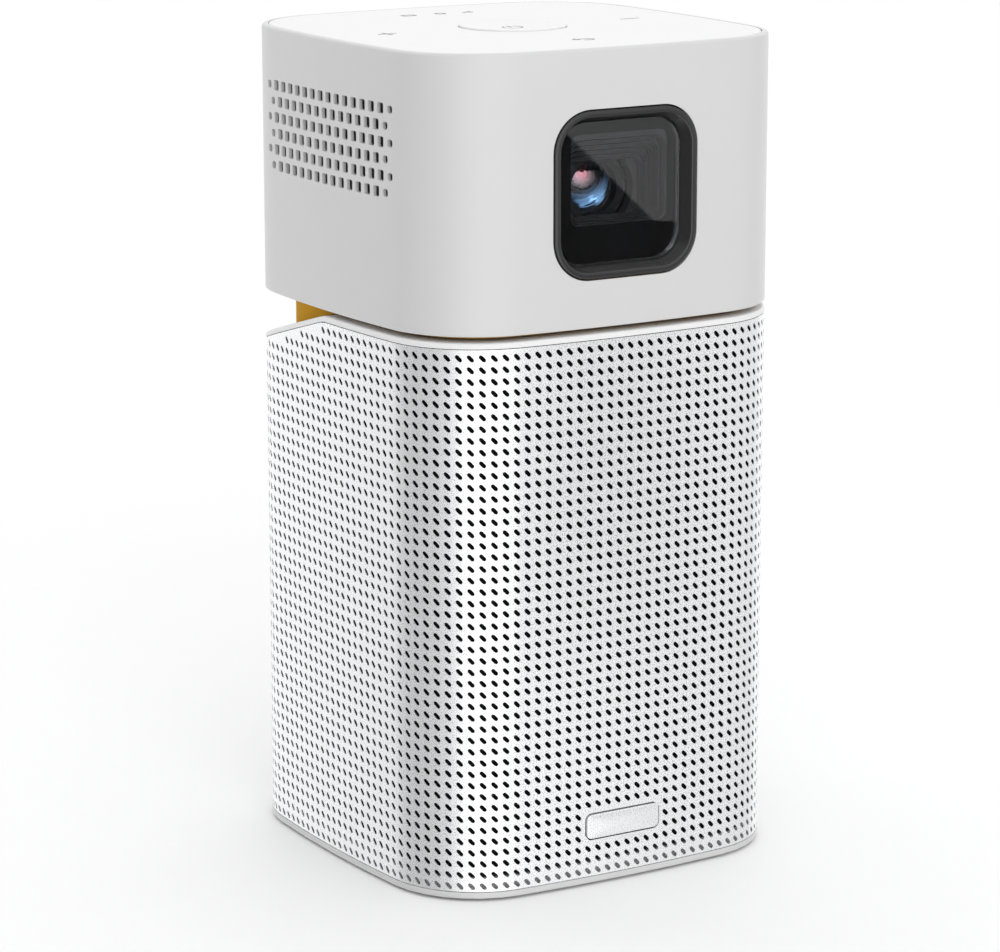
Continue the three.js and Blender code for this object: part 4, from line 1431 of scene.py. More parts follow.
@dataclass
class HeadShell:
    """Outer case of the head: its wall with vents, lens opening and wheel slot, floor and rim."""

    bottom: float = 104.9
    top: float = 155.0
    wall: float = 0.7
    ledge: float = 2.0
    ledge_depth: float = 0.6
    floor: float = 1.6
    edge: float = 0.6
    foot_edge: float = 0.35
    cover_inset: float = 1.2
    cover_seat: float = 153.2
    vent_pitch: float = 3.0
    vent_top: float = 144.4
    vent_rows: int = 6
    vent_columns: int = 16
    vent_middle: float = 0.3
    vent_size: tuple[float, float] = (1.95, 1.95)
    vent_corner: float = 0.35
    end_vent_size: tuple[float, float] = (1.6, 1.4)
    end_vent_corner: float = 0.45
    top_vent_row: int = 13
    fan_side: float = -3.0
    bezel_centre: tuple[float, float] = (-0.6, 128.9)
    bezel_size: float = 30.7
    bezel_corner: float = 7.6
    bezel_cells: tuple[int, int] = (-12, 12)
    bezel_rows: tuple[int, int] = (2, 15)
    wheel_y: float = -14.0
    wheel_z: float = 121.0
    wheel_slot: tuple[float, float] = (13.2, 5.2)
    wheel_corner: float = 1.0
    wheel_cells: tuple[int, int] = (-15, -4)
    wheel_rows: tuple[int, int] = (3, 8)
    dish_skin: float = 39.8
    dish_corner: float = 0.8
    dish_centre: float = 62.6
    dish_radius: float = 24.0
    dish_height: float = 10.0
    collar_gap: float = 0.9
    collar_back: float = 24.3
    side_columns: int = 34
    corner_columns: int = 12

    def columns(self) -> np.ndarray:
        """Edges of the cells: half a vent pitch apart on each side, and closer in the corners.

        Returns:
            Rising lengths along the outline.
        """
        half = self.side_columns // 2
        shifts = self.vent_middle * np.array([0, 1, 0, -1])
        middles = CASE.quarter * np.arange(4) + shifts
        side = middles[:, None] + self.vent_pitch / 2 * np.arange(-half, half + 1)
        start, end = side[:, -1], np.append(side[1:, 0], side[0, 0] + CASE.perimeter)
        corner = np.linspace(start, end, self.corner_columns + 1, axis=1)[:, 1:-1]
        every = np.concatenate([side, corner], axis=1).ravel()
        return np.append(every, every[0] + CASE.perimeter)

    def rows(self) -> np.ndarray:
        """Heights of the cell edges, from the rounded foot to the rounded top."""
        steps = self.vent_top + self.vent_pitch / 2 + self.vent_pitch * np.arange(-13, 3)
        return np.concatenate([[self.bottom + self.foot_edge], steps, [self.top - self.edge]])

    def vents(self) -> tuple[np.ndarray, np.ndarray]:
        """Rows and first columns of the vent holes; odd rows have one fewer, half a pitch along.

        The left wall has them all and the right wall only those that face the fan.

        Returns:
            The full-sized holes, and the smaller ones at the ends of the rows.
        """
        per_side = self.side_columns + self.corner_columns
        row, column = np.divmod(np.arange(self.vent_rows * self.vent_columns), self.vent_columns)
        odd = row % 2
        keep = column < self.vent_columns - odd
        row, column, odd = row[keep], column[keep], odd[keep]
        first = self.side_columns // 2 - self.vent_columns + odd + 2 * column
        y = self.vent_middle + (column - (self.vent_columns - 1 - odd) / 2) * self.vent_pitch
        level = self.top_vent_row - row
        left = np.stack([level, 3 * per_side + (self.side_columns - 2 - first)], axis=-1)
        right = np.stack([level, per_side + first], axis=-1)
        at_end = (column == 0) | (column == self.vent_columns - 1 - odd)
        facing = y > self.fan_side
        full = np.concatenate([left[~at_end], right[facing & ~at_end]])
        return full, np.concatenate([left[at_end], right[facing & at_end]])

    def lens_opening(self) -> Opening:
        """The rounded square that the bezel fills.

        Returns:
            The opening.
        """
        plan = rounded_rectangle(self.bezel_size, self.bezel_size, self.bezel_corner, self.bezel_centre, 14)
        first, last = (self.side_columns // 2 + cell for cell in self.bezel_cells)
        return Opening((first, last), self.bezel_rows, ((plan, 0.0), (plan, self.wall)))

    def wheel_opening(self) -> Opening:
        """The upright scoop for a fingertip, with the slot for the wheel's rim at its bottom.

        The scoop is a cylinder about an upright line outside the case, so its depth at y is how
        far that circle reaches past the skin.

        Returns:
            The opening.
        """
        middle = CASE.quarter + self.wheel_y
        reach = math.sqrt(self.dish_radius**2 - (self.dish_centre - self.dish_skin) ** 2)
        mouth = rounded_rectangle(2 * reach, self.dish_height, self.dish_corner, (middle, self.wheel_z), 8)
        slot = rounded_rectangle(*self.wheel_slot, self.wheel_corner, (middle, self.wheel_z), 8)
        rings = [(mouth, 0.0)]
        for plan in (mouth, (mouth + slot) / 2, slot):
            skin_x = CASE.at(plan[:, 0])[:, 0]
            away = plan[:, 0] - middle
            floor_x = self.dish_centre - np.sqrt(self.dish_radius**2 - away**2)
            rings.append((plan, np.maximum(skin_x - floor_x, 0.0)))
        side_middle = self.side_columns + self.corner_columns + self.side_columns // 2
        first, last = (side_middle + cell for cell in self.wheel_cells)
        return Opening((first, last), self.wheel_rows, (*rings, (slot, self.ledge)))

    def build(self) -> None:
        """Builds the wall, then the rim and the floor as rings that close it."""
        skin = Skin()
        columns = self.columns()
        full, small = self.vents()
        vents = [(rounded_rectangle(*self.vent_size, self.vent_corner, corner=3), full)]
        vents.append((rounded_rectangle(*self.end_vent_size, self.end_vent_corner, corner=3), small))
        openings = [self.lens_opening(), self.wheel_opening()]
        ends = (self.bottom + self.floor, self.cover_seat - self.ledge_depth)
        wall = CellWall(columns, self.rows(), 0.0, self.wall, inner_ends=ends, closed=False)
        wall.build(skin, vents, 2, openings)
        skin.grid(np.stack([at_height(CASE.at(columns, inset), z) for inset, z in self.rim_section()]))
        skin.grid(np.stack(self.floor_rows(columns)))
        dress(skin.build("head_case"), Finish.WHITE_SHELL, "head", "white_shell", "head_shell")

    def rim_section(self) -> list[tuple[float, float]]:
        """Inset and height from the wall's top, over the rounded edge and the cover's ledge.

        Returns:
            The section's points.
        """
        high = self.top - self.edge
        edge = []
        for angle in np.radians(np.linspace(0, 90, 7)):
            edge.append((self.edge * (1 - math.cos(angle)), high + self.edge * math.sin(angle)))
        seat, under = self.cover_seat, self.cover_seat - self.ledge_depth
        edge += [(self.cover_inset, self.top), (self.cover_inset, seat)]
        return [*edge, (self.ledge, seat), (self.ledge, under), (self.wall, under)]

    def floor_rows(self, s: np.ndarray) -> list[np.ndarray]:
        """Rings of the floor, from inside the wall to the collar's opening and back underneath.

        Args:
            s: Lengths along the outline.

        Returns:
            The rings.
        """
        low, high = self.bottom, self.bottom + self.floor
        opening = neck_ring(s, -self.collar_gap, self.collar_back)
        wall_foot = self.bottom + self.foot_edge
        rows = [at_height(CASE.at(s, self.wall), high), at_height(opening, high)]
        rows += [at_height(opening, low), at_height(CASE.at(s, self.foot_edge), low)]
        for angle in np.radians([30, 60, 90]):
            inset = self.foot_edge * (1 - math.sin(angle))
            rows.append(at_height(CASE.at(s, inset), wall_foot - self.foot_edge * math.cos(angle)))
        return rows


@dataclass
class DustScreen:
    """Curved sheet of woven screen close behind a wall's vents.

    It reaches the same length along the outline to both sides of its middle.
    """

    name: str
    middle: float
    reach: float
    low: float = 126.4
    high: float = 146.4
    inset: float = 1.6
    thickness: float = 0.25

    def build(self) -> None:
        """Builds the sheet as rings round its own section, closed at both ends."""
        s = np.linspace(self.middle - self.reach, self.middle + self.reach, 40)
        section = [(self.inset, self.low), (self.inset, self.high), (self.inset + self.thickness, self.high)]
        section.append((self.inset + self.thickness, self.low))
        rows = [at_height(CASE.at(s, inset), z) for inset, z in [*section, section[0]]]
        skin = Skin()
        grid = np.stack(rows)
        skin.grid(grid)
        skin.add(grid[:4, 0], np.array([[3, 2, 1, 0]]))
        skin.add(grid[:4, -1], np.array([[0, 1, 2, 3]]))
        dress(skin.build(self.name), Finish.SCREEN, "head", "black_cloth")


@dataclass
class TopCover:
    """Plate inlaid in the head's rim, with the hole for the power key."""

    inset: float = 1.35
    top: float = 155.0
    under: float = 153.5
    lip_foot: float = 151.8
    lip: tuple[float, float] = (2.3, 3.8)
    edge: float = 0.15
    hole: float = 10.15

    def build(self) -> None:
        """Builds the plate as rings from its outer edge to the hole, then back underneath.

        The hole's ring takes each outline point's direction from the middle.
        """
        s = CASE.stations()
        plan = CASE.at(s, self.inset)
        direction = plan / np.linalg.norm(plan, axis=-1, keepdims=True)
        rows = [
            at_height(plan, self.under),
            at_height(plan, self.top - self.edge),
            at_height(CASE.at(s, self.inset + self.edge), self.top),
            at_height((direction * self.hole + plan) / 2, self.top),
            at_height(direction * (self.hole + self.edge), self.top),
            at_height(direction * self.hole, self.top - self.edge),
            at_height(direction * self.hole, self.under),
            at_height(CASE.at(s, self.lip[1]), self.under),
            at_height(CASE.at(s, self.lip[1]), self.lip_foot),
            at_height(CASE.at(s, self.lip[0]), self.lip_foot),
            at_height(CASE.at(s, self.lip[0]), self.under),
        ]
        skin = Skin()
        skin.grid(np.stack([*rows, rows[0]]))
        # painted light: the cover takes the lighter top white
        dress(skin.build("cover_plate"), Finish.TOP_WHITE_PAINTED_LIGHT, "head", "white_shell", "top_cover")


@dataclass
class PowerKey:
    """Round dished key in the middle of the top, with its printed symbol."""

    radius: float = 9.95
    rim: float = 155.3
    dish: float = 0.55
    foot: float = 153.5
    stem: tuple[float, float] = (1.6, 152.6)
    edge: float = 0.3
    bowl_inset: float = 0.5
    symbol_radius: float = 1.85
    symbol_gap: float = math.radians(32)
    symbol_bar: tuple[float, float] = (0.35, 2.3)
    symbol_line: float = 0.42
    symbol_lift: float = 0.02

    def build(self) -> None:
        """Turns the key with its bowl, which rises with the radius squared, and adds its symbol."""
        edge = arc_rows((self.radius - self.edge, self.rim - self.edge), self.edge, 0, 90, 5)
        reach = self.radius - self.bowl_inset
        bowl_radius = np.linspace(reach, 0, 14)
        bowl = np.stack([bowl_radius, self.rim - self.dish * (1 - (bowl_radius / reach) ** 2)], axis=-1)
        foot = [[0, self.stem[1]], [*self.stem], [self.stem[0], self.foot], [self.radius, self.foot]]
        profile = [*foot, *edge, *bowl]
        skin = Skin()
        skin.grid(lathe(profile, 96))
        # painted light: the key takes the lighter top white
        dress(skin.build("power_key_cap"), Finish.TOP_WHITE_PAINTED_LIGHT, "power_key", "white_shell", "power_button")
        pen = Pen(width=self.symbol_line)
        turn = np.linspace(math.pi / 2 + self.symbol_gap, TURN + math.pi / 2 - self.symbol_gap, 40)
        pen.stroke(self.symbol_radius * np.stack([np.cos(turn), np.sin(turn)], axis=-1))
        pen.stroke(np.array([[0, end] for end in self.symbol_bar]))
        symbol = pen.build("power_key_symbol", self.rim - self.dish + self.symbol_lift)
        dress(symbol, Finish.SYMBOL_GREY, "power_key", "bezel_grey")


@dataclass
class Pen:
    """Draws flat printed symbols as thin ribbons."""

    width: float = 0.4
    thickness: float = 0.035
    skin: Skin = field(default_factory=Skin)
    strokes: list[np.ndarray] = field(default_factory=list)

    def stroke(self, path: np.ndarray, centre: Sequence[float] = (0, 0), turn: float = 0.0) -> None:
        """Adds a line through the points of a path.

        Args:
            path: Plan points.
            centre: Where the path's own zero goes.
            turn: How far the path turns about it.
        """
        cos, sin = math.cos(turn), math.sin(turn)
        self.strokes.append(path @ np.array([[cos, sin], [-sin, cos]]) + np.asarray(centre, float))

    def build(self, name: str, z: float) -> bpy.types.Object:
        """Builds every stroke as a closed ribbon whose sides stand half a width from its path.

        The side direction at a point is square to the mean of its two neighbouring steps.

        Args:
            name: Name of the piece.
            z: Height of the surface that it lies on.

        Returns:
            The object.
        """
        for path in self.strokes:
            step = np.gradient(path, axis=0)
            step /= np.linalg.norm(step, axis=-1, keepdims=True)
            side = np.stack([-step[:, 1], step[:, 0]], axis=-1) * self.width / 2
            left, right = path + side, path - side
            low, high = z - self.thickness, z + self.thickness / 2
            section = [(right, low), (right, high), (left, high), (left, low), (right, low)]
            grid = np.stack([at_height(edge, level) for edge, level in section])
            self.skin.grid(grid)
            self.skin.add(grid[:4, 0], np.array([[3, 2, 1, 0]]))
            self.skin.add(grid[:4, -1], np.array([[0, 1, 2, 3]]))
        return self.skin.build(name)


@dataclass
class TouchSymbols:
    """Printed marks of the touch keys and the status lamps round the power key."""

    top: float = 155.012
    plus: tuple[float, float] = (-26.8, 0.15)
    minus: tuple[float, float] = (25.8, -0.3)
    back: tuple[float, float] = (-1.1, -26.6)
    line: float = 0.45
    half: float = 1.9
    bend: float = 0.85
    lamps_y: float = 26.5
    lamp_ring: float = 0.95
    battery: tuple[float, float, float] = (2.6, 1.5, 0.3)
    battery_x: float = -7.0
    bars_x: float = 5.0
    bars_pitch: float = 0.85

    def build(self) -> None:
        """Draws plus, minus, a returning arrow, and three small status marks."""
        pen = Pen(width=self.line)
        bar = np.array([[-self.half, 0.0], [self.half, 0.0]])
        pen.stroke(bar, self.plus)
        pen.stroke(bar, self.plus, math.pi / 2)
        pen.stroke(bar * 1.1, self.minus)
        angle = np.radians(np.linspace(90, -90, 16))
        hook = np.stack([0.9 + self.bend * np.cos(angle), self.bend * np.sin(angle)], axis=-1)
        loop = np.vstack([[-2.0, self.bend], hook, [-0.6, -self.bend]])
        pen.stroke(loop, self.back)
        pen.stroke(np.array([[-1.1, 2 * self.bend], [-2.0, self.bend], [-1.1, 0.0]]), self.back)
        self.draw_lamps(pen)
        dress(pen.build("touch_key_symbols", self.top), Finish.SYMBOL_GREY, "head", "bezel_grey")

    def draw_lamps(self, pen: Pen) -> None:
        """Draws a battery outline, a lamp's ring and three rising bars.

        Args:
            pen: The pen that draws them.
        """
        outline = rounded_rectangle(*self.battery, (self.battery_x, self.lamps_y), 3)
        pen.stroke(np.vstack([outline, outline[:2]]))
        circle = ring(self.lamp_ring, (0.0, self.lamps_y), 20)
        pen.stroke(np.vstack([circle, circle[:2]]))
        for index in range(3):
            x = self.bars_x + self.bars_pitch * index
            pen.stroke(np.array([[x, self.lamps_y - 0.9], [x, self.lamps_y - 0.1 + 0.5 * index]]))


@dataclass
class LensFront:
    """Bezel, clear window, printed mask, light sensor and stepped hood in front of the lens.

    Rectangles are left, right, bottom and top. A hood step is its half width, top and bottom, and
    the groove before it is its outer and inner growth, then its depth.
    """

    centre: tuple[float, float] = (-0.6, 128.9)
    lens_z: float = 128.4
    bezel_size: float = 30.2
    bezel_corner: float = 7.4
    bezel_section: tuple[tuple[float, float], ...] = (
        (0.0, -36.4), (0.0, -39.72), (0.08, -39.91), (0.28, -40.0), (1.0, -40.0), (1.12, -39.95),
        (1.2, -39.82), (1.62, -38.5), (1.86, -37.75), (1.95, -37.6), (2.0, -37.4), (2.0, -36.4),
    )
    window_size: float = 25.6
    window_corner: float = 5.3
    window_depth: tuple[float, float] = (-37.6, -36.6)
    mask_depth: tuple[float, float] = (-36.5, -36.38)
    aperture: tuple[float, float, float, float] = (-10.6, 10.0, 122.95, 139.4)
    aperture_corner: float = 1.6
    sensor: tuple[float, float, float, float] = (-2.6, 1.5, 117.1, 121.6)
    sensor_corner: float = 0.6
    sensor_faces: tuple[float, float] = (-0.03, 0.01)
    block: tuple[float, float, float, float] = (-2.5, 1.3, 117.3, 121.6)
    block_depth: tuple[float, float] = (-36.0, -34.2)
    block_corner: float = 0.5
    hood_size: float = 26.8
    hood_corner: float = 5.0
    hood_depth: tuple[float, float] = (-36.2, -28.6)
    step_depth: float = 1.14
    step_corners: tuple[float, float, float] = (2.4, 2.3, 2.2)
    step_edge: float = 0.08
    groove: tuple[float, float, float] = (0.32, 0.1, 0.6)
    steps: tuple[tuple[float, float, float], ...] = (
        (9.9, 138.1, 123.0),
        (9.3, 137.0, 123.2),
        (8.9, 135.9, 123.45),
        (8.5, 134.8, 123.6),
        (8.1, 133.6, 123.7),
    )
    barrel_clearance: float = 7.2

    def square(self, inset: float, y: float, size: float, corner: float) -> np.ndarray:
        """A rounded square about the centre, drawn in by an inset.

        Args:
            inset: How far it is drawn in.
            y: Its depth.
            size: Width before that.
            corner: Corner radius before that.

        Returns:
            Points round it.
        """
        side = size - 2 * inset
        return facing_front(rounded_rectangle(side, side, max(corner - inset, 0.3), self.centre, 14), y)

    def rectangle(self, sides: Sequence[float], corner: float, y: float) -> np.ndarray:
        """A rounded rectangle from its sides.

        Args:
            sides: Left, right, bottom and top.
            corner: Corner radius.
            y: Its depth.

        Returns:
            Points round it.
        """
        left, right, low, high = sides
        middle = ((left + right) / 2, (low + high) / 2)
        return facing_front(rounded_rectangle(right - left, high - low, corner, middle, 14), y)

    def solid(self, name: str, loops: Sequence[np.ndarray]) -> bpy.types.Object:
        """Builds a ring-shaped piece.

        Args:
            name: Name of the piece.
            loops: Loops that run round its section.

        Returns:
            The object.
        """
        skin = Skin()
        skin.grid(closed_loft(loops))
        return skin.build(name)

    def slab(self, name: str, front: np.ndarray, back: np.ndarray) -> bpy.types.Object:
        """Builds a plate.

        Args:
            name: Name of the piece.
            front: Loop round its front face.
            back: Loop round its back face.

        Returns:
            The object.
        """
        skin = Skin()
        grid = np.stack([back, front])
        skin.grid(np.concatenate([grid, grid[:, :1]], axis=1))
        skin.cap(front, front.mean(axis=0), up=True)
        skin.cap(back, back.mean(axis=0), up=False)
        return skin.build(name)

    def build(self) -> None:
        """Builds the five pieces from the outside in."""
        rings = [self.square(inset, y, self.bezel_size, self.bezel_corner) for inset, y in self.bezel_section]
        bezel = self.solid("lens_bezel_ring", rings)
        dress(bezel, Finish.BEZEL_GREY, "head", "bezel_grey", "lens_bezel")
        loops = [self.square(0.0, y, self.window_size, self.window_corner) for y in self.window_depth]
        pane = dress(self.slab("window_pane", *loops), Finish.WINDOW, "head", "clear_window", "lens_window")
        pane.visible_shadow = False
        self.build_mask()
        self.build_sensor()
        self.build_hood()

    def build_mask(self) -> None:
        """Builds the black print behind the window, with its aperture."""
        front, back = self.mask_depth
        outer = [self.square(0.0, y, self.window_size, self.window_corner) for y in (back, front)]
        inner = [self.rectangle(self.aperture, self.aperture_corner, y) for y in (front, back)]
        dress(self.solid("window_mask", [*outer, *inner]), Finish.MASK_BLACK, "head", "black_plastic")

    def build_sensor(self) -> None:
        """Builds the tinted sensor spot in the lower part of the mask, and the sensor behind it."""
        front = self.mask_depth[0]
        spot = [self.rectangle(self.sensor, self.sensor_corner, front + step) for step in self.sensor_faces]
        dress(self.slab("sensor_window", *spot), Finish.SENSOR_TINT, "head", "bezel_grey")
        block = [self.rectangle(self.block, self.block_corner, y) for y in self.block_depth]
        dress(self.slab("sensor_block", *block), Finish.BEZEL_GREY, "head", "bezel_grey", "light_sensor")

    def grown(self, sides: Sequence[float], by: float) -> tuple[float, float, float, float]:
        """Left, right, bottom and top of a rectangle, moved outwards."""
        return sides[0] - by, sides[1] + by, sides[2] - by, sides[3] + by

    def build_hood(self) -> None:
        """Builds the hood's frame, its steps towards the lens, and the clearance round the barrel."""
        front, back = self.hood_depth
        loops = [self.square(0.0, y, self.hood_size, self.hood_corner) for y in (back, front)]
        outer_corner, inner_corner, step_corner = self.step_corners
        for index, (half, top, low) in enumerate(self.steps):
            y = front + index * self.step_depth
            end = y + self.step_depth
            sides = (self.centre[0] - half, self.centre[0] + half, low, top)
            wide, narrow = self.grown(sides, self.groove[0]), self.grown(sides, self.groove[1])
            bottom = y + self.groove[2]
            loops += [self.rectangle(wide, outer_corner, depth) for depth in (y, bottom)]
            loops += [self.rectangle(narrow, inner_corner, depth) for depth in (bottom, y)]
            loops += [self.rectangle(sides, step_corner, depth) for depth in (y + self.step_edge, end)]
        recess = ring(self.barrel_clearance, (self.centre[0], self.lens_z), 56)
        loops += [facing_front(recess, loops[-1][0, 1]), facing_front(recess, back)]
        hood = self.solid("stepped_hood", loops)
        dress(hood, Finish.HOOD_BLACK, "head", "black_plastic", "lens_hood")


@dataclass
class LensUnit:
    """Ring and glasses at the front of the focusing barrel.

    Sections are pairs of radius and distance in front of the middle. A glass is its radius, the
    front of its middle, how far its face falls towards the edge, and its flat back.
    """

    centre: tuple[float, float, float] = (-0.6, 0.0, 128.4)
    ring_section: tuple[tuple[float, float], ...] = (
        (5.02, 26.9), (6.68, 26.9), (6.72, 27.0), (6.72, 28.5), (6.6, 28.78), (6.2, 28.78), (6.1, 28.5),
        (5.85, 28.5), (5.75, 28.15), (5.5, 28.15), (5.4, 27.8), (5.1, 27.8), (5.02, 27.4), (5.02, 26.9),
    )
    front_glass: tuple[float, float, float, float] = (4.85, 28.35, 1.5, 26.2)
    inner_glass: tuple[float, float, float, float] = (4.6, 23.2, -1.7, 22.2)

    def turned(self, section: Sequence[Sequence[float]], name: str) -> bpy.types.Object:
        """Turns a section about the lens's own line.

        Args:
            section: Its points.
            name: Name of the piece.

        Returns:
            The object.
        """
        skin = Skin()
        skin.grid(along_y(lathe(section, 72), self.centre))
        return skin.build(name)

    def glass(self, radius: float, front: float, fall: float, back: float) -> np.ndarray:
        """Section of a glass whose face falls with the radius squared, with a flat back.

        Args:
            radius: Its radius.
            front: The front of its middle.
            fall: How far the face falls towards the edge.
            back: Its back.

        Returns:
            The section's points.
        """
        share = np.linspace(1, 0, 12)
        face = np.stack([radius * share, front - fall * share**2], axis=-1)
        return np.vstack([[0.0, back], [radius, back], face])

    def build(self) -> None:
        """Builds the grooved ring, the front glass with its painted pink reflection and the deep inner glass
        with its painted blue one.
        """
        trim = self.turned(self.ring_section, "lens_trim_ring")
        dress(trim, Finish.RING_BLACK, "lens", "black_plastic")
        front = self.turned(self.glass(*self.front_glass), "front_glass")
        dress(front, Finish.FRONT_GLASS_PAINTED_REFLECTION, "lens", "coated_glass", "front_lens")
        front.visible_shadow = False
        deep = self.turned(self.glass(*self.inner_glass), "inner_glass")
        dress(deep, Finish.INNER_GLASS_PAINTED_REFLECTION, "lens", "coated_glass", "rear_lens")


# ---------------------------------------------------------------- CAD pieces that stay


SLOT_FINISH = {
    "white_shell": Finish.WHITE_SHELL,
    "white_metal": Finish.WHITE_METAL,
    "ochre_plastic": Finish.OCHRE,
    "bezel_grey": Finish.BEZEL_GREY,
    "black_plastic": Finish.BLACK_PLASTIC,
    "black_cloth": Finish.CLOTH,
    "clear_window": Finish.WINDOW,
    # carried lens glasses get the front glass with its painted pink reflection
    "coated_glass": Finish.FRONT_GLASS_PAINTED_REFLECTION,
    "rubber": Finish.RUBBER,
    "steel": Finish.STEEL,
    "aluminium": Finish.ALUMINIUM,
    "copper": Finish.COPPER,
    "brass": Finish.BRASS,
    "board_green": Finish.BOARD,
    "cell_wrap": Finish.CELL_WRAP,
    "cone_paper": Finish.CONE_PAPER,
}


def dress_carried_nodes() -> None:
    """Gives every CAD node the finish of its record slot."""
    slots = {part["node"]: part["material_slot"] for part in frame["record"]["subparts"]}
    for name, node in frame["nodes"].items():
        material = finish_of(SLOT_FINISH[slots[name]])
        if not node.material_slots:
            node.data.materials.append(material)
        for slot in node.material_slots:
            slot.material = material
    LOG.info("dressed %d carried nodes", len(slots))


# ---------------------------------------------------------------- studio


@dataclass
class SoftBox:
    """One rectangular studio light, unseen by the camera itself."""

    name: str
    place: tuple[float, float, float]
    aim: tuple[float, float, float]
    size: tuple[float, float]
    radiance: float

    def build(self) -> None:
        """Builds the light; its power is the radiance times pi, times its area."""
        data = bpy.data.lights.new(self.name, "AREA")
        data.shape = "RECTANGLE"
        data.size, data.size_y = self.size
        data.energy = self.radiance * math.pi * self.size[0] * self.size[1]
        light = bpy.data.objects.new(self.name, data)
        light.location = self.place
        toward = Vector(self.aim) - Vector(self.place)
        light.rotation_euler = toward.to_track_quat("-Z", "Y").to_euler()
        light.visible_camera = False
        bpy.context.collection.objects.link(light)


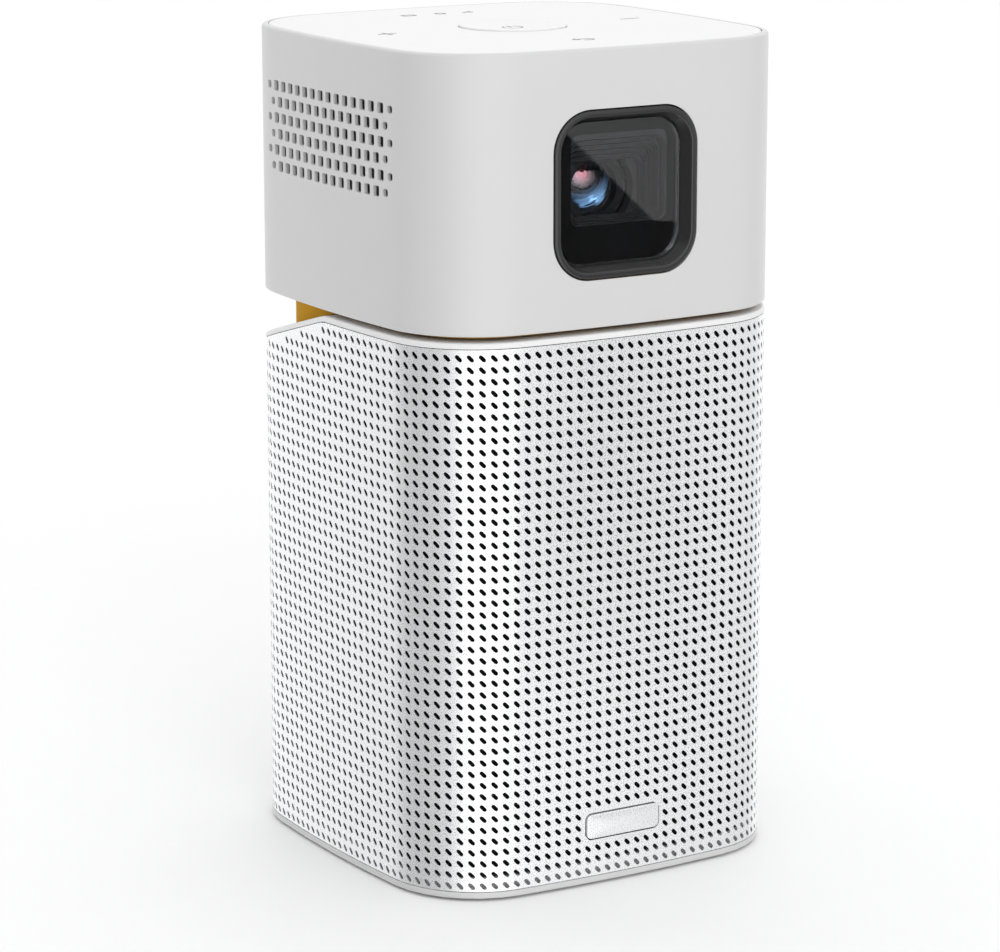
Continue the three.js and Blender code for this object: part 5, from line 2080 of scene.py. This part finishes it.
@dataclass
class Studio:
    """Pale floor, even surroundings, soft lights and the camera."""

    camera_place: tuple[float, float, float] = (-0.36485, -0.59190, 0.22764)
    camera_look: tuple[float, float, float] = (0.5077, 0.8328, -0.2206)
    camera_roll: float = math.radians(-0.05)
    lens: float = 134.36
    sensor_width: float = 36.0
    nearest: float = 0.01
    shift: tuple[float, float] = (0.0054, -0.0063)
    floor_reach: float = 4000.0
    floor_grey: float = 247
    surround: tuple[tuple[float, float], ...] = (
        (-180, 1.2), (-120, 1.2), (-90, 0.55), (-45, 0.5), (-25, 0.9), (-5, 1.4), (25, 2.0), (45, 1.35),
        (60, 0.35), (80, 0.08), (110, 0.08), (128, 0.3), (145, 1.15), (165, 1.4), (180, 1.2),
    )
    ceiling: float = 1.16
    ceiling_edge: tuple[float, float] = (0.35, 0.85)
    lights: tuple[SoftBox, ...] = (
        SoftBox("upper_front", (-0.2, -0.9, 0.75), (0.0, -0.03, 0.128), (0.4, 0.25), 2.5),
    )
    flag_reach: float = 300.0
    flag_edge: tuple[tuple[float, float], ...] = (
        (-31.8, 158.3), (7.0, 122.8), (27.0, 121.0), (27.0, 50.0), (7.0, 50.0), (-80.0, 50.0),
    )
    window_y: float = -37.6

    def build(self) -> None:
        """Builds the floor, the surroundings, the lights and the camera."""
        self.build_floor()
        self.build_surround()
        self.build_flag()
        for light in self.lights:
            light.build()
        self.build_camera()
        bpy.context.scene.view_settings.view_transform = "Standard"

    def build_surround(self) -> None:
        """Builds the studio's walls and ceiling: brightness by bearing, blended into a ceiling.

        The bearing is the angle of a direction's level part, 0 at the front and 90 at the left.
        The camera itself sees plain white. Colours are half their brightness, and the strength
        doubles them, because a ramp's colour stops at 1.
        """
        world = bpy.data.worlds.new("studio")
        world.use_nodes = True
        tree = world.node_tree
        back = tree.nodes["Background"]

        def add(kind: str, inputs: dict, **settings: object) -> bpy.types.Node:
            """Adds a node, and links or fills its inputs.

            Args:
                kind: The node's type.
                inputs: A value or output socket for each input's number or name.
                settings: The node's own settings.

            Returns:
                The node.
            """
            node = tree.nodes.new(kind)
            for key, value in settings.items():
                setattr(node, key, value)
            for key, value in inputs.items():
                if isinstance(value, bpy.types.NodeSocket):
                    tree.links.new(value, node.inputs[key])
                else:
                    node.inputs[key].default_value = value
            return node

        parts = add("ShaderNodeSeparateXYZ", {0: add("ShaderNodeTexCoord", {}).outputs["Generated"]}).outputs
        left = add("ShaderNodeMath", {0: parts["X"], 1: -1.0}, operation="MULTIPLY").outputs[0]
        front = add("ShaderNodeMath", {0: parts["Y"], 1: -1.0}, operation="MULTIPLY").outputs[0]
        bearing = add("ShaderNodeMath", {0: left, 1: front}, operation="ARCTAN2").outputs[0]
        share = add("ShaderNodeMapRange", {"Value": bearing, "From Min": -math.pi, "From Max": math.pi})
        ramp = add("ShaderNodeValToRGB", {"Fac": share.outputs[0]})
        ramp.color_ramp.interpolation = "EASE"
        stops = ramp.color_ramp.elements
        for _ in self.surround[2:]:
            stops.new(0.5)
        for stop, (degrees, value) in zip(stops, self.surround):
            stop.position = (degrees + 180) / 360
            stop.color = (value / 2, value / 2, value / 2, 1.0)
        low, high = self.ceiling_edge
        rise = {"Value": parts["Z"], "From Min": low, "From Max": high}
        height = add("ShaderNodeMapRange", rise, interpolation_type="SMOOTHSTEP").outputs[0]
        ceiling = (*[self.ceiling / 2] * 3, 1.0)
        walls = add("ShaderNodeMix", {"Factor": height, 6: ramp.outputs[0], 7: ceiling}, data_type="RGBA")
        seen = add("ShaderNodeLightPath", {}).outputs["Is Camera Ray"]
        white = (0.5, 0.5, 0.5, 1.0)
        whole = add("ShaderNodeMix", {"Factor": seen, 6: walls.outputs[2], 7: white}, data_type="RGBA")
        tree.links.new(whole.outputs[2], back.inputs["Color"])
        back.inputs["Strength"].default_value = 2.0
        bpy.context.scene.world = world

    def build_flag(self) -> None:
        """Builds the black card whose slanted edge crosses the window's reflection.

        A point on the window is seen from the camera along a line. The card's corner stands on
        that line's mirror image, at one distance behind the window's front face.
        """
        eye = plain(*self.camera_place) / MM
        edge = np.array(self.flag_edge)
        spot = np.stack([edge[:, 0], np.full(len(edge), self.window_y), edge[:, 1]], axis=-1)
        ray = (spot - eye) / np.linalg.norm(spot - eye, axis=-1, keepdims=True)
        ray[:, 1] *= -1
        skin = Skin()
        skin.add(spot + self.flag_reach * ray, np.array([[0, 1, 4, 5], [1, 2, 3, 4]]))
        flag = skin.build("studio_flag")
        flag.data.materials.append(SoftRubber("flag_black", (0, 0, 0)).make())
        flag.visible_camera = False
        flag.visible_diffuse = False
        flag.visible_shadow = False

    def build_floor(self) -> None:
        """Builds a wide pale floor under the foot."""
        corners = self.floor_reach * np.array([[-1, -1, 0], [1, -1, 0], [1, 1, 0], [-1, 1, 0]])
        skin = Skin()
        skin.add(corners, np.array([[0, 1, 2, 3]]))
        floor = skin.build("studio_floor")
        grey = (self.floor_grey, self.floor_grey, self.floor_grey)
        floor.data.materials.append(MouldedPlastic("floor_white", grey, 0.6, 0.5, 0.002, 0.002).make())
        floor.visible_glossy = False
        floor.visible_transmission = False

    def build_camera(self) -> None:
        """Builds the camera from its place, look direction and roll."""
        data = bpy.data.cameras.new("camera")
        data.lens = self.lens
        data.sensor_width = self.sensor_width
        data.shift_x, data.shift_y = self.shift
        data.clip_start = self.nearest
        camera = bpy.data.objects.new("camera", data)
        turn = Vector(self.camera_look).to_track_quat("-Z", "Y").to_matrix().to_4x4()
        roll = Matrix.Rotation(self.camera_roll, 4, "Z")
        camera.matrix_world = Matrix.Translation(self.camera_place) @ turn @ roll
        bpy.context.collection.objects.link(camera)
        bpy.context.scene.camera = camera


def main() -> None:
    """Builds every sub-assembly in order, then the studio."""
    logging.basicConfig(level=logging.INFO, format="%(name)s %(message)s")
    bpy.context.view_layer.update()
    Studio().build()
    dress_carried_nodes()
    assemblies = [
        Grille(),
        Badge(),
        BaseRim(),
        TopDeck(),
        Neck(),
        HeadShell(),
        DustScreen("vent_screen_left", middle=3 * CASE.quarter - 0.3, reach=26.0),
        DustScreen("vent_screen_right", middle=CASE.quarter + 12.0, reach=15.5),
        TopCover(),
        PowerKey(),
        TouchSymbols(),
        LensFront(),
        LensUnit(),
    ]
    for assembly in assemblies:
        assembly.build()


if __name__ == "__main__":
    main()
